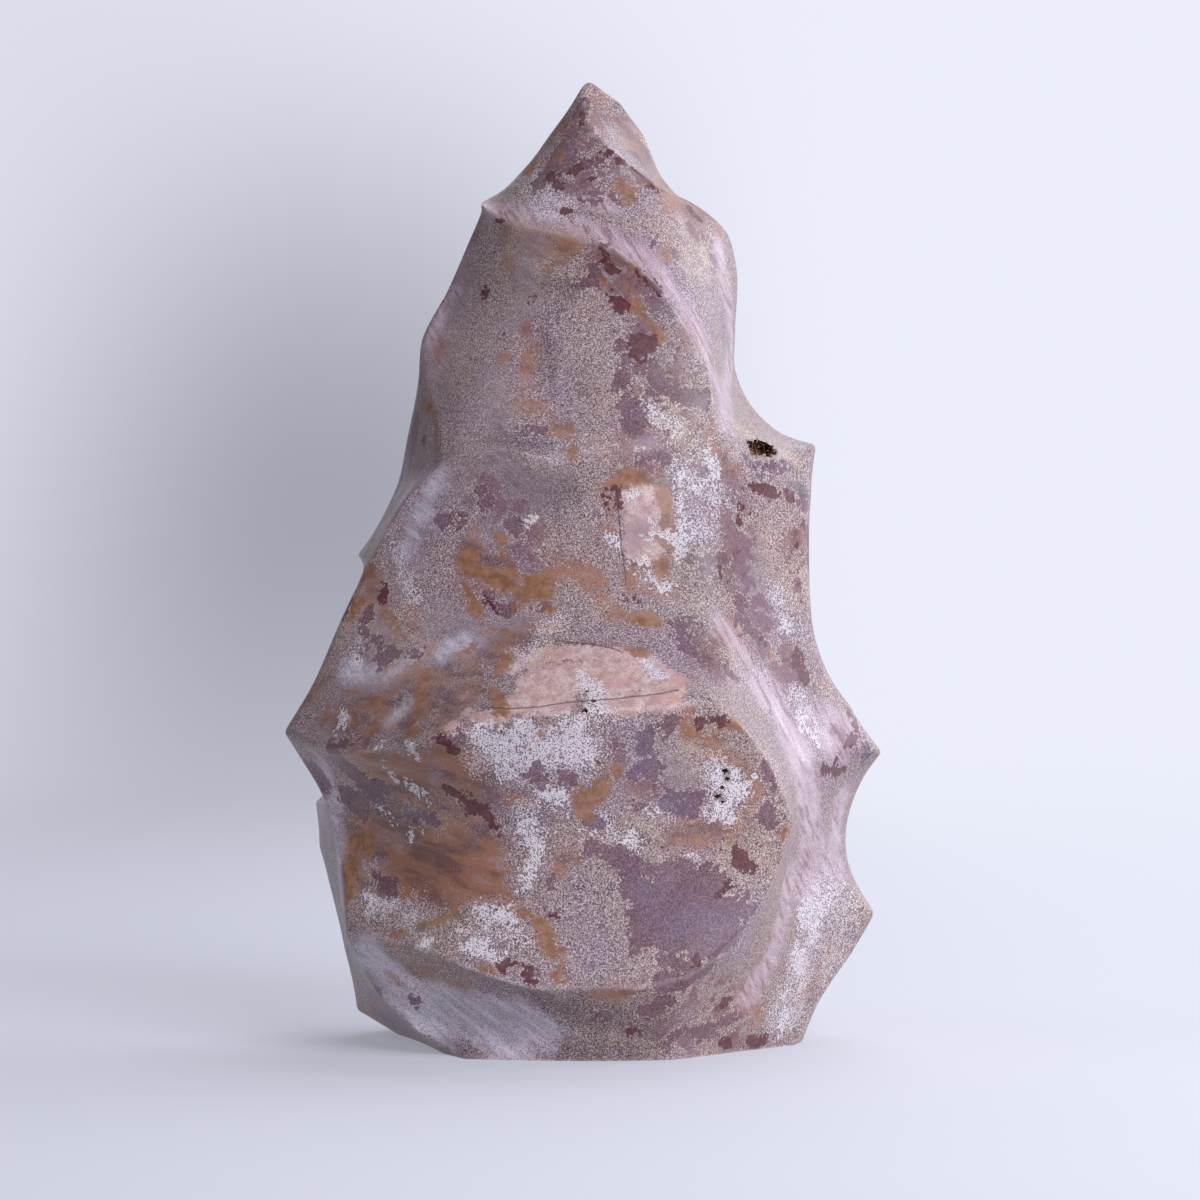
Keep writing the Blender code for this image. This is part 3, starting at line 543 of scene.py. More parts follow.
        (0.15, (-30, 41), (-27, 39.7), (-25.5, 38.7), (-24.3, 37.6)), (0.2, (-27.5, 46.4), (-27, 44.6)),
        (0.3, (-35, 38), (-33.8, 37)), (0.25, (-32, 36.8)), (0.25, (-29.6, 34.2)),
        (0.3, (-27.3, 32.3), (-26.9, 31.7)), (0.3, (-25.7, 33.5)), (1, (-34, 22.5), (-33, 21.5)),
        (0.6, (-31, 21.5), (-28.5, 20.8)), (1.1, (-18.5, 15), (-16, 14.6), (-14.3, 13.6), (-13.4, 14)),
        (0.8, (-14, 12.6)), (0.9, (-16, 20), (-14, 19.5), (-11, 18.6)), (0.7, (-25.5, 15.2)),
        (0.5, (-21, 16), (-19, 16.5)), (1.9, (21.5, 41), (23.5, 39.5), (22, 37), (20.5, 36.2)),
        (0.5, (26.9, 42)), (0.35, (-1, 33.5), (1, 32.3), (4, 31.6), (6, 32.3), (7.5, 31.3), (9, 29.6)),
        (0.3, (9, 35), (11, 36.3), (13, 37)), (0.6, (16.5, 29), (19, 29)),
        (0.5, (12.5, 26), (13.5, 26)), (1, (-27, 9), (-25.5, 7), (-24.6, 6)),
        (1.8, (34.5, 20), (35.5, 17)), (1.7, (33.5, 14), (33.5, 9.5)), (0.9, (38, 22.5), (37, 20)),
        (0.9, (31.5, 7), (30.8, 2)), (1.2, (34, 50.5), (35.5, 48)), (0.4, (31, 66), (31.4, 65)),
        (0.7, (-38, 51.8), (-37.6, 49.3)), (0.8, (-35.4, 59.5)),
    ],
    "plum": [
        # point and upper face
        (1, (-0.8, 146.6), (-2, 144), (-3, 141), (-4.5, 138.5)),
        (2, (-1.6, 142), (-3, 138), (-6.3, 135.5), (-7.3, 134)), (0.9, (1, 133)), (0.5, (4.5, 131.6)),
        (0.6, (-0.5, 131.5), (2, 131)), (0.5, (14.5, 123), (16, 122)), (0.5, (19.7, 125.3)),
        (0.5, (11, 125.3)), (0.9, (2, 138), (0, 137)), (1.2, (1.5, 121), (0.5, 119), (2, 118.5)),
        (0.9, (6, 108.5), (5.5, 107.8)), (0.8, (7, 106.8)), (0.5, (5, 106), (7.5, 105.3), (9, 105.5)),
        (0.7, (11, 106), (11, 104), (10.6, 102.5), (11, 101)),
        (1.3, (11.5, 102.6), (14, 101.8), (17, 100.7), (18.5, 99.8)),
        (0.8, (17.3, 105), (18.8, 103), (19, 101)), (0.5, (12.5, 103.4), (15.5, 103.7)),
        (1.3, (5.5, 104), (5.5, 102.5), (6.5, 101.5), (7, 99.5), (6.6, 98)),
        (1.5, (6.5, 97.3), (7, 95.8), (9, 95), (10.5, 93.9)), (0.8, (8.3, 97.8)), (0.7, (11.5, 93.3)),
        (0.8, (9, 91), (11, 91.7), (12.5, 92)), (0.6, (8.5, 90.3)), (0.8, (17.3, 90.3), (18.2, 89.4)),
        # left sliver and middle hollow
        (2.6, (-26.5, 96), (-27.5, 91), (-28.5, 87)), (1.2, (-30.5, 82), (-32, 80)),
        (0.7, (-11, 96.5), (-7, 95.5)), (1.1, (-16, 86.5), (-15, 84)), (0.9, (-22, 81.5), (-19, 82)),
        (0.8, (-11.5, 81)), (0.5, (-14.5, 83)), (1, (-8.5, 78)),
        (1.1, (-14.5, 70), (-13.5, 68), (-12, 67.8)), (0.7, (-8.7, 67.8), (-6.5, 68)),
        (0.9, (-34, 67), (-34.5, 64), (-34, 61.5)), (0.9, (-33, 63)),
        (1.1, (-33, 60), (-29, 60.6), (-26.5, 61)),
        # ledge and right face
        (0.9, (25.5, 91.2), (29, 89.8), (32, 89.6)), (0.9, (16.5, 75), (19.5, 75.5), (22, 75.5)),
        (0.7, (17, 74), (19, 74)), (0.9, (13.5, 65.5), (15, 66.5), (17.5, 65.3)),
        (0.9, (15.5, 64.3), (15.8, 62.3), (17, 60.6), (19.5, 58)),
        (1.5, (24.5, 68.7), (25, 67), (25.5, 65), (27.2, 63), (27.5, 61.2)),
        (1, (27, 59.6), (28.4, 58.2)), (0.5, (34, 84.5), (35, 83)), (0.4, (30.5, 79)),
        (1, (44.3, 46.5), (43.6, 44)), (0.5, (22, 59.3), (22, 58)),
        (0.8, (-37.5, 47), (-36, 47.8), (-34, 47.1)), (0.6, (-29, 53)), (0.6, (-19.6, 48), (-19, 47.2)),
        # belly
        (2.3, (-38.3, 44.2), (-36.2, 42), (-34.5, 40.2), (-32.5, 39.6)), (2, (-37, 39), (-35, 37)),
        (0.8, (-27.5, 36), (-25, 35), (-23, 34.2)), (1, (-23, 47), (-20.5, 47)),
        (0.9, (-33, 27), (-32, 24.7), (-30, 23.7)), (0.5, (-12.8, 33), (-13.8, 34)),
        (1.2, (-8, 41.5), (-3, 41.3)), (0.9, (13.3, 50), (12.8, 48), (12, 45.5), (11, 43.2)),
        (1.3, (10.5, 49), (10, 46)), (0.8, (4.3, 46.8), (5, 46)), (0.9, (9.5, 43), (10.5, 42)),
        (0.8, (0, 34), (2, 33.6)), (0.6, (8, 40.5), (7.5, 42)),
        (1.3, (0.3, 31), (3, 30), (5.5, 28.5), (8.5, 27.5)),
        (2.2, (8, 24), (12, 23), (16, 24.5), (20, 24.5)),
        (2.5, (8.7, 20), (14, 20), (20, 20), (24.3, 20.5)), (1.5, (10, 26.5), (15, 26.7), (19, 27.2)),
        (2.3, (9, 17), (14, 16), (19, 15.5), (22.5, 17.5)),
        (0.9, (12, 40), (14, 38.6), (16.5, 38.4), (18.5, 38)), (0.7, (12.5, 37), (14.5, 36.4)),
        (0.7, (9, 38), (8, 36.5)), (0.7, (17, 36), (18, 38.8)),
        (1.2, (29, 37.5), (28.5, 35.5), (30, 34.2)), (0.8, (28.3, 43.4), (29.4, 41), (30, 39.2)),
        (1, (13, 12.7), (16, 12.2), (18, 12.7)), (0.5, (-6.2, 25.7), (-5.3, 24.5), (-5.5, 23)),
        (0.8, (-6.5, 21.2)), (3, (-41.8, 41), (-41.6, 35), (-41, 29)), (1.4, (-39.8, 20), (-38.4, 12)),
        # below the belly
        (1.1, (12, 10), (15, 9), (17, 10.5), (19.5, 12)), (0.9, (9, 5), (11, 4.6), (13, 6.5)),
        (0.7, (2, 4), (3.5, 4)), (1, (14, 1), (16, 1.5), (19, 1.5)), (1.1, (21.5, 3), (23, 3.7)),
        (0.9, (-37.4, 17), (-36, 12), (-34.5, 8)), (1, (-34.5, 8), (-32.5, 5), (-29, 2.7)),
        (0.7, (-27, 6.6), (-25.5, 6.4)),
    ],
    "ochre": [
        (0.7, (-3.8, 138.4), (-3.5, 137.6)), (0.35, (5.6, 136.9), (7.5, 135.7), (9.3, 134.4)),
        (1.1, (6, 134.4), (6.9, 132.2)), (0.7, (-3, 133.2), (-1.6, 133.8)),
        (0.5, (3, 118.8), (3.8, 118)), (0.5, (7.5, 121), (8, 120.5)), (0.7, (7, 118.5), (7, 116.6)),
        (0.8, (7.8, 115.5), (9, 113.5), (10.5, 111.8), (11.9, 110)), (1.1, (-25, 100), (-24, 98.6)),
        (0.6, (-23.5, 98), (-23.3, 94), (-23.2, 91)), (0.9, (-2, 92.5), (-1.4, 91.6)),
        (1.2, (6, 87.9), (8, 88.2), (11, 88)), (1, (11.8, 87), (12.4, 84), (12.9, 81.5)),
        (1.6, (12.3, 74.3)), (0.8, (-13.3, 79), (-13, 76.5)), (1.6, (-18, 74.8), (-17, 73)),
        (0.9, (-18.5, 71), (-17.5, 68.5), (-16, 66.6)),
        (1.4, (-14.6, 72.5), (-12.5, 71.2), (-10, 70.3)), (1.5, (-11, 72.8), (-9, 72), (-6.6, 70.8)),
        (0.8, (-9, 69.4), (-10, 68.3)), (0.6, (-16, 64.5), (-13, 64.1), (-11.5, 63.9)),
        (0.7, (-17.5, 61.5)), (1.1, (-34, 73.5), (-35.4, 70), (-36.2, 67)),
        (0.7, (-31, 67.5), (-29.8, 65.5), (-28.8, 63.6)),
        (1.1, (-25, 57.5), (-25.5, 54), (-26, 51), (-26.5, 48.7)),
        (0.5, (-32.5, 54), (-32.8, 51), (-33, 49)), (0.8, (-36, 50), (-34.5, 48.7), (-33, 48.2)),
        (1, (-12.5, 59.4), (-14, 57.4), (-15, 55.5), (-14, 54)),
        (0.9, (-14, 54), (-13.5, 52.8), (-12.6, 51.4)), (0.8, (8, 66), (10.5, 66.3), (11.5, 65.6)),
        (0.35, (6.5, 61), (9, 60.8)), (0.6, (-5.5, 67.5)), (0.6, (-6.9, 47.9), (-6.9, 46.9)),
        (0.4, (-6.6, 49.6)), (0.7, (16, 48.5), (18, 47.8), (20.5, 48.5), (23.8, 49.9)),
        (0.5, (16.8, 52)), (0.35, (29, 60.4)), (0.7, (5.6, 43.2), (4, 41.9), (2.5, 41), (1.5, 40)),
        (1.5, (3, 39.7), (1, 38.5), (-0.5, 37.2)), (0.9, (-1.2, 38), (-0.2, 35.8)),
        (1.3, (-34.5, 31.5), (-33.8, 28.5)), (1.1, (-35.8, 31), (-36.3, 27), (-37, 23)),
        (0.45, (-25.5, 18.6), (-24, 18), (-22.6, 19), (-21, 20.3), (-20, 20)),
        (0.4, (-30, 16.8), (-29, 16.5)), (0.7, (-16.5, 11.6), (-14.4, 11)),
        (0.9, (-9.3, 19.8), (-7.5, 18.8), (-6, 17.5), (-5.4, 16), (-5, 14.6)),
        (0.8, (-3.7, 14.5), (-4, 12), (-3.9, 10.2), (-2.7, 9.8)), (0.6, (31.3, 33), (31, 31.8)),
    ],
    "maroon": [
        (0.6, (-0.4, 145), (-0.6, 141)), (0.5, (2.5, 139), (4, 138.8)), (0.8, (-1, 136.5)),
        (0.6, (1, 135)), (0.9, (-5.5, 135.4), (-3.6, 133.6)), (0.8, (-6.4, 133)),
        (0.6, (5, 138), (7, 136.8), (9.5, 135), (11, 133)), (0.4, (-3, 130), (-2.3, 130)),
        (0.35, (15.5, 130.5), (16.5, 130)), (0.5, (18, 128.5), (19.3, 127.5)),
        (0.4, (-14, 128.6), (-12.6, 128.4)), (0.9, (2.5, 124), (3, 122.8), (4, 121)), (0.5, (5, 120.6)),
        (0.4, (4.3, 117.6)), (0.6, (5.3, 116), (5.6, 115.2)),
        (0.8, (8.5, 119.5), (9.6, 119.5), (11.5, 117.6)), (0.4, (10.5, 116.5)), (0.4, (13.5, 114.5)),
        (0.6, (-16, 118), (-15.5, 116.5)), (0.5, (-9, 116), (-8, 115.6)),
        (0.4, (-12.6, 111), (-12.8, 110)), (1.6, (8.6, 109.4)), (0.6, (10.3, 108.3)), (0.8, (8, 107.6)),
        (0.4, (14.5, 108.2), (14.7, 107.6)), (0.35, (14, 104.8)), (0.3, (16, 103.9)),
        (0.3, (16.7, 110)), (0.35, (12.6, 95)), (0.7, (-24.9, 95), (-25.4, 90)), (0.25, (-23.8, 102.5)),
        (0.8, (25, 87.2), (28, 86.3), (30, 85.6), (32, 85.6)), (0.5, (24.5, 84), (24.8, 83.4)),
        (0.3, (25.7, 82.7), (27, 82.5)), (0.45, (29, 83.6)),
        (1.1, (34.6, 80.4), (35, 77.5), (35, 75.5)), (0.9, (33.1, 78.2)), (0.5, (24, 81.3)),
        (0.2, (4.8, 86.2), (5.2, 84), (5.4, 82), (5.5, 79.5)), (0.5, (2.9, 85.5), (3.8, 82.5)),
        (0.5, (21.3, 73.2), (22, 72.2)), (0.25, (6, 69.6), (7, 68.9), (8.3, 69.2)), (0.5, (24.3, 63.3)),
        (0.6, (27.5, 63.3), (26.3, 63.6)), (1.3, (33.1, 59.6), (33.6, 58), (34.4, 57)),
        (0.5, (33.4, 61.5), (33.6, 60.5)), (0.5, (32, 60.5)), (0.4, (33.2, 63.8)),
        (0.35, (29, 51.5), (29.3, 50.4)), (0.3, (23.5, 57), (24, 56.7)), (0.5, (41.5, 51)),
        (0.55, (42, 50), (42.4, 48.5), (41, 46.5), (39.3, 43.7)),
        (0.7, (37.2, 42.5), (38.6, 42.3), (41, 42.6)), (0.5, (-31.3, 71), (-31.6, 69.4)),
        (0.4, (-15.6, 69), (-13.5, 67.4)), (0.25, (-4.5, 62.8), (-2, 62.5), (0, 62.3)),
        (0.9, (18.3, 49.8), (20, 50.5), (21.6, 50.2)), (0.4, (19.5, 51.6)),
        (0.8, (-20.5, 45.7), (-22.6, 47.6)),
        (1, (-21.2, 39.5), (-19.5, 38), (-17, 36.6), (-15.4, 35.9)), (0.4, (-15, 35.2), (-13.8, 33.4)),
        (0.7, (-34.5, 42), (-33, 41.2)), (0.6, (-26, 34.2)), (0.5, (2.4, 45), (2.9, 43)),
        (1.2, (24.5, 28.8), (25, 27.9), (25.7, 27.5)), (0.6, (24.6, 29.7)), (0.45, (26, 26.9)),
        (0.6, (-13, 11.7)), (0.6, (-11.5, 12.5), (-9.5, 12.3), (-8.3, 11), (-8, 9.6), (-7.6, 8.8)),
        (0.4, (-4.3, 19.3)), (0.7, (17.8, 12.6)), (0.6, (22, 24), (21.5, 23.2)),
        (0.35, (7, 1.6), (7.5, 1.3)), (1, (22, 6), (21, 5.2)), (1, (22, 0), (22.6, -1)),
        (1, (25.6, 0), (28, 0)), (0.7, (-37, 14.5), (-35.8, 10)), (0.5, (-33, 5), (-30, 3)),
    ],
    "green": [
        (0.6, (33.7, 86.6), (34.6, 85.8)), (0.3, (31, 87.5), (33, 87)), (0.45, (27.5, 88.6)),
        (0.35, (19.3, 99.1)), (0.4, (-32.5, 19.7)), (0.4, (-26, 17.6), (-25.3, 17.9)),
        (0.35, (-20, 19.8), (-19, 19.9)), (0.35, (-23.5, 15), (-22.8, 14.7)),
        (0.4, (-17.2, 17.3), (-16.8, 17.4)), (0.4, (-19, 13.6)), (0.8, (-32.5, 8), (-31.5, 6)),
        (0.4, (-26.5, 8.4)), (0.5, (22, 42.3), (22.4, 40.6)), (0.4, (20.6, 38), (21.6, 38.8)),
    ],
    # zones broken into many small pieces
    "mottled": [
        (5, (-1, 143), (-3, 137), (2, 134)), (2.6, (15, 129), (20, 123)),
        (4.5, (4, 122), (8, 117), (10, 110)), (4.5, (10, 110), (12, 103), (13, 98), (9, 93)),
        (3.5, (-16, 86), (-10, 82), (-8, 77)), (4, (22, 86), (24, 78), (26, 70), (28, 63), (32, 58)),
        (3, (33, 80), (34, 72)), (2.5, (16, 64), (20, 58)), (3, (38, 50), (42, 47)),
        (3, (6, 46), (10, 40)), (2.5, (15, 34), (24, 33)), (2.5, (25, 40)),
        (3.5, (12, 8), (20, 8), (24, 4)), (3, (13, 1), (24, 1)), (3, (-22, 47), (-18, 42), (-15, 37)),
    ],
    # smooth, translucent and drifting from one colour to the next
    "clouded": [
        (5, (-35, 44), (-30, 42), (-24, 42), (-18, 42)), (6, (-31, 34), (-24, 33), (-18, 31)),
        (5, (-30, 27), (-22, 27), (-16, 28)), (3, (-36, 33), (-36, 25)),
        (4, (-37, 51), (-32, 52), (-26, 52)), (5, (-30, 58), (-24, 57)), (3, (-20, 52), (-18, 57)),
        (3, (-36, 57), (-33, 62)), (3, (-26, 99), (-27, 90), (-28, 86)), (2.5, (-34, 72), (-33, 65)),
        (3.5, (-17, 75), (-12, 72), (-8, 71)), (3.5, (9, 87), (11, 84), (11, 79), (11, 76)),
        (2.5, (-12, 127), (-4, 124)), (3, (-9, 64), (-18, 60)),
    ],
    # pale lavender pink, drawn out into streaks: partly the stone's own colour, partly a painted sheen
    # where the hollows and the right faces catch the bright surroundings
    "pale": [
        (1.5, (-14.5, 129.9), (-8, 129.3), (-1, 128), (5, 125.3), (9.5, 122.2)),
        (1.8, (9.5, 122.2), (14, 117.2), (17.5, 111.3), (20, 105), (21.8, 99)),
        (2.5, (22, 118), (23, 108), (22, 100)), (2, (24, 125), (25, 118)),
        (1.6, (21.5, 65), (25, 60.5)), (3, (27.5, 56), (31.5, 50)), (4.4, (33, 46), (34.5, 39)),
        (3, (40, 37), (39, 27)), (1.2, (-6, 131.5), (4, 130.5)), (1.3, (21.5, 99), (22, 96)),
        (4.4, (35, 37), (35.5, 30), (35, 25)), (1.6, (36, 52), (42, 49)),
        (3, (31, 20), (28.5, 12), (26, 8)), (3, (32, 26), (31, 20)),
        (2.2, (35, 51), (38, 47), (40, 44)), (1.4, (-22, 118), (-24.5, 110), (-27, 105)),
    ],
    # a grey lilac veil that softens the grain
    "smoke": [
        (3.6, (-21, 121), (-23, 111), (-24, 101)), (3, (-9, 124), (-10, 114)),
        (2.5, (-14, 104), (-13, 97)), (3, (-24, 86), (-27, 79), (-29, 72)), (4, (-34, 68), (-33, 60)),
        (3, (-38, 57), (-31, 56)), (3, (-8, 86), (-14, 80)), (2.5, (10, 46), (8, 40)),
        (2.5, (-20, 88), (-14, 90), (-7, 88)), (3, (-22, 66), (-15, 64), (-8, 66)),
        (3, (12, 44), (16, 40)), (2, (-40, 47), (-42, 50)), (3, (26, 76), (28, 68)),
        (3, (4, 120), (8, 124)),
    ],
    # grey and cool, below the belly and along the left edge
    "ash": [
        (4, (-33, 13), (-27, 7), (-22, 3)), (4, (-22, 7), (-16, 4), (-12, 0)), (3, (-12, 5), (-7, 2)),
        (1.3, (-41.5, 44), (-39.5, 38), (-38.5, 30), (-38, 22)),
        (0.9, (-22, 89), (-24.5, 85), (-27, 80), (-28, 76)),
        (2, (-37, 58), (-32, 57), (-26, 60), (-18, 62)), (1.2, (-28, 52.5), (-30, 50.5)),
    ],
    # where the ground is darker: partly its own colour, and partly painted shade under the belly and under
    # the shelf
    "dusky_and_shade": [
        (3.5, (-5, 5), (2, 4), (10, 3)), (3, (-3, -1), (6, -2)), (2.5, (-34, 38), (-26, 38)),
        (2, (-28, 48), (-22, 50)), (1.5, (-2, 118), (-10, 119)), (1.4, (-7, 112), (-5, 104)),
        (1.2, (0, 106), (-1, 101)), (3, (-10, 88), (-4, 86)), (2, (-20, 45), (-16, 38)),
        (2, (6, 28), (9, 31)), (2, (22, 72), (24, 76)), (2.5, (-14, 94), (-8, 93)),
    ],
    # sprinkled with white
    "frost": [
        (5.4, (37, 22), (36, 17), (33.5, 11), (31.5, 5)), (3.5, (41, 21), (38, 11)),
        (2.4, (14.8, 90), (17.5, 86)), (2, (19.5, 87.5), (20.5, 84)), (1.8, (16, 82), (18.5, 79)),
        (1.4, (17.5, 92.5), (20, 94)), (2.4, (-13, 46.5), (-3, 46)),
        (4, (-15, 44.5), (-6, 44), (1, 46)), (2.2, (-9, 36), (-8, 28)), (3, (20, 42), (23, 37)),
        (2.4, (-33, 21), (-26, 20)), (2.6, (-18, 17), (-11, 17)), (2, (-27, 9), (-23, 7)),
        (2.2, (33, 64), (30, 70)), (2.5, (36, 50), (33, 54)), (2, (-37, 58), (-35, 63)),
        (2, (-1, 50), (3, 51)), (2, (2, 34), (8, 31)), (2, (9, 99), (14, 96)),
        (2.2, (-30, 78), (-27, 70)), (2, (-10, 60), (-4, 66)),
    ],
    "cream": [
        (1.5, (23.5, 96), (26, 95)), (1.2, (30, 92.4), (33, 91)),
        (1.1, (15, 128), (17, 125), (19, 122.5)), (1.4, (16, 121.5), (19, 119.5)),
        (0.4, (10, 76.2), (12.8, 76.8), (14.3, 76)), (0.3, (-8.4, 81.6)), (0.6, (15, 95), (16.5, 93.5)),
        (0.5, (16, 67.7), (18, 68.6)), (0.6, (14.5, 45), (17, 46.3)), (0.5, (8.8, 34.5), (12, 32)),
        (0.3, (-30, 41), (-27.5, 39.6)), (0.3, (-28, 37.6), (-26.4, 36.4)),
    ],
}

# The axes that a crack can run along
ACROSS = 0
UP = 2

# Hairline cracks, each with the axis that it runs along and its places on the front
CRACKS = [
    (ACROSS, [
        (-16, 52.4), (-12, 52.1), (-8, 52.3), (-4, 52.9), (0, 53.3), (4, 53.6), (8, 54), (12, 54.5),
        (15, 55.1),
    ]),
    (ACROSS, [(-5, 62.8), (-2, 62.5), (1, 62.2), (4, 61.6), (6, 61)]),
    (UP, [(6.5, 71), (6.2, 74), (5.8, 77), (5.5, 79.5), (5.4, 82), (5.2, 84), (4.8, 86.4)]),
]

# The mesh layers that hold how sharp each edge and each point is
EDGE_CREASES = "crease_edge"
POINT_CREASES = "crease_vert"


# The cage of points, and how it settles

def link(name, data):
    """Put a mesh, a lamp or a camera in the scene."""
    thing = bpy.data.objects.new(name, data)
    bpy.context.collection.objects.link(thing)
    return thing


def named_points():
    """Every point by name. The nape and the shelf begin on a point of another ridge."""
    points = {}
    for group in (RIDGES, HOLLOWS):
        for ridge, places in group.items():
            for number, place in enumerate(places):
                points[f"{ridge}{number}"] = Vector(place) * MM
    return points


def ridge_sharpness():
    """How sharp each stretch between two neighbouring points of a ridge is."""
    sharpness = {}
    for names, value in STRETCHES:
        names = names.split()
        for first, second in zip(names, names[1:]):
            sharpness[frozenset((first, second))] = value
    return sharpness


def build_cage():
    """The coarse stone that the smooth one is drawn over, and the names of its points in order."""
    points = named_points()
    faces = [line.split() for line in FACES.splitlines() if line.strip()]
    names = sorted({name for face in faces for name in face})
    number = {name: place for place, name in enumerate(names)}
    mesh = bpy.data.meshes.new("stone")
    mesh.from_pydata(
        [points[name] for name in names], [], [[number[name] for name in face] for face in faces]
    )
    mesh.validate()
    return link("stone", mesh), names


def face_outwards(mesh):
    """Turn each face so that the whole cage faces out."""
    work = bmesh.new()
    work.from_mesh(mesh)
    bmesh.ops.recalc_face_normals(work, faces=work.faces)
    work.to_mesh(mesh)
    work.free()


def crease(mesh, names):
    """Write on the cage how sharp each ridge and each corner is."""
    sharpness = ridge_sharpness()
    edges = mesh.attributes.new(EDGE_CREASES, "FLOAT", "EDGE")
    for edge in mesh.edges:
        ends = frozenset(names[place] for place in edge.vertices)
        edges.data[edge.index].value = sharpness.get(ends, 0)
    corners = mesh.attributes.new(POINT_CREASES, "FLOAT", "POINT")
    for place, name in enumerate(names):
        corners.data[place].value = CORNERS.get(name, 0)


def reach_of(name, crisp_points):
    """How near the smooth surface comes to one point of the cage."""
    if name in crisp_points:
        return REACH_RIDGE
    if name.startswith(OUTLINE_HOLLOWS):
        return REACH_OUTLINE
    return REACH_SOFT_RIDGE if name.startswith(tuple(RIDGES)) else REACH_HOLLOW


def settled(stone):
    """Where the smooth surface has come to at each point of the cage."""
    graph = bpy.context.evaluated_depsgraph_get()
    graph.update()
    smooth = stone.evaluated_get(graph).data
    return [smooth.vertices[place].co.copy() for place in range(len(stone.data.vertices))]


def settle(stone, names):
    """Shift the cage until the smooth surface runs through the crisp ridges, near the rest."""
    crisp_points = {name for line, value in STRETCHES if value > SOFT for name in line.split()}
    aims = []
    for name, point, start in zip(names, stone.data.vertices, settled(stone)):
        aims.append(start.lerp(point.co, reach_of(name, crisp_points)))
    for _ in range(SETTLE_ROUNDS):
        for point, aim, reached in zip(stone.data.vertices, aims, settled(stone)):
            point.co += aim - reached
        stone.data.update()


# The small holes with crystals in them: where on the front view, half their length, and how deep
DRUSES = [
    ((22, 42.3), 0.5, 0.7), ((22.3, 41.1), 0.42, 0.6), ((21.5, 39.8), 0.36, 0.5), ((20.8, 38.4), 0.55, 0.7),
    ((21.6, 37.5), 0.3, 0.4), ((1.4, 53.3), 0.42, 0.6), ((0, 51.8), 0.5, 0.6), ((0.4, 54.8), 0.3, 0.4),
]

# How broad a druse is, in half lengths, and how uneven and how finely made each hole is
DRUSE_BREADTH = 1.5
DRUSE_UNEVENNESS = 0.45
DRUSE_FINENESS = 3
CAVITY_UNEVENNESS = 0.12
CAVITY_FINENESS = 5

# How closely the lumps of a natural hole follow one another
LUMPS_PER_RADIUS = 2.3

# The hand-held wheel leaves the hollows a little uneven, less so down by the base
WAVE_LENGTH = 11
WAVE_HEIGHT = 0.16
WAVE_FADES_BELOW = 3
BASE_SKIN = 0.01

# Edges between faces that meet at more than this many degrees are shaded sharp
SHARP_FROM = 55

# The seed of each thing that chance lays out
SEED_BACK = 31
SEED_CRYSTALS = 7

# How far from a patch its field is still told apart
FIELD_REACH = 15

# How far to each side of a crack, and how far behind its foremost point, its field is painted
CRACK_REACH = 3
CRACK_DEPTH = 4


# The shape of the stone

def points_of(mesh):
    """A mesh's points in millimetres, as rows of an array."""
    flat = numpy.empty(len(mesh.vertices) * 3)
    mesh.vertices.foreach_get("co", flat)
    return flat.reshape(-1, 3) / MM


def made_real(thing):
    """The mesh of a thing with its modifiers applied."""
    graph = bpy.context.evaluated_depsgraph_get()
    graph.update()
    mesh = bpy.data.meshes.new_from_object(thing.evaluated_get(graph), depsgraph=graph)
    thing.modifiers.clear()
    thing.data = mesh
    return mesh


def carve_stone():
    """The stone at full fineness, before its holes."""
    stone, names = build_cage()
    face_outwards(stone.data)
    crease(stone.data, names)
    smoothing = stone.modifiers.new("smoothing", "SUBSURF")
    smoothing.levels = SETTLE_LEVELS
    settle(stone, names)
    smoothing.levels = SURFACE_LEVELS
    smoothing.render_levels = SURFACE_LEVELS
    mesh = made_real(stone)
    for attribute in (EDGE_CREASES, POINT_CREASES):
        if attribute in mesh.attributes:
            mesh.attributes.remove(mesh.attributes[attribute])
    ripple(mesh)
    return stone


def ripple(mesh):
    """The slight unevenness of a surface ground by hand. The flat base keeps its height."""
    normals = [vertex.normal.copy() for vertex in mesh.vertices]
    for vertex, normal in zip(mesh.vertices, normals):
        height = vertex.co.z / MM
        if height < BASE_SKIN:
            continue
        wave = noise.noise(vertex.co / (WAVE_LENGTH * MM))
        vertex.co += normal * wave * WAVE_HEIGHT * min(1, height / WAVE_FADES_BELOW) * MM
    mesh.update()


def surface_of(mesh):
    """The surface of a mesh in millimetres, for finding places on it."""
    return BVHTree.FromPolygons(
        [vertex.co / MM for vertex in mesh.vertices], [face.vertices for face in mesh.polygons]
    )


def seen_from_front(surface, place):
    """Where a place on the front view lies on the stone, and which way the stone faces there."""
    eye = Vector(CAMERA_AT)
    sight = Vector((place[0], 0, place[1])) - eye
    spot, normal, _, _ = surface.ray_cast(eye, sight.normalized())
    if spot is None:
        spot, normal, _, _ = surface.find_nearest(Vector((place[0], 0, place[1])))
    return spot, normal


def rough_ball(work, centre, axes, turn, seed, fineness, unevenness):
    """A lumpy ellipsoid, for cutting a natural hole."""
    made = bmesh.ops.create_icosphere(work, subdivisions=fineness, radius=1)
    for vertex in made["verts"]:
        lump = 1 + unevenness * 2 * noise.noise(vertex.co * LUMPS_PER_RADIUS + Vector((seed, 0, 0)))
        vertex.co = Vector(side * size / 2 * lump for side, size in zip(vertex.co, axes))
        vertex.co = (turn @ vertex.co + Vector(centre)) * MM


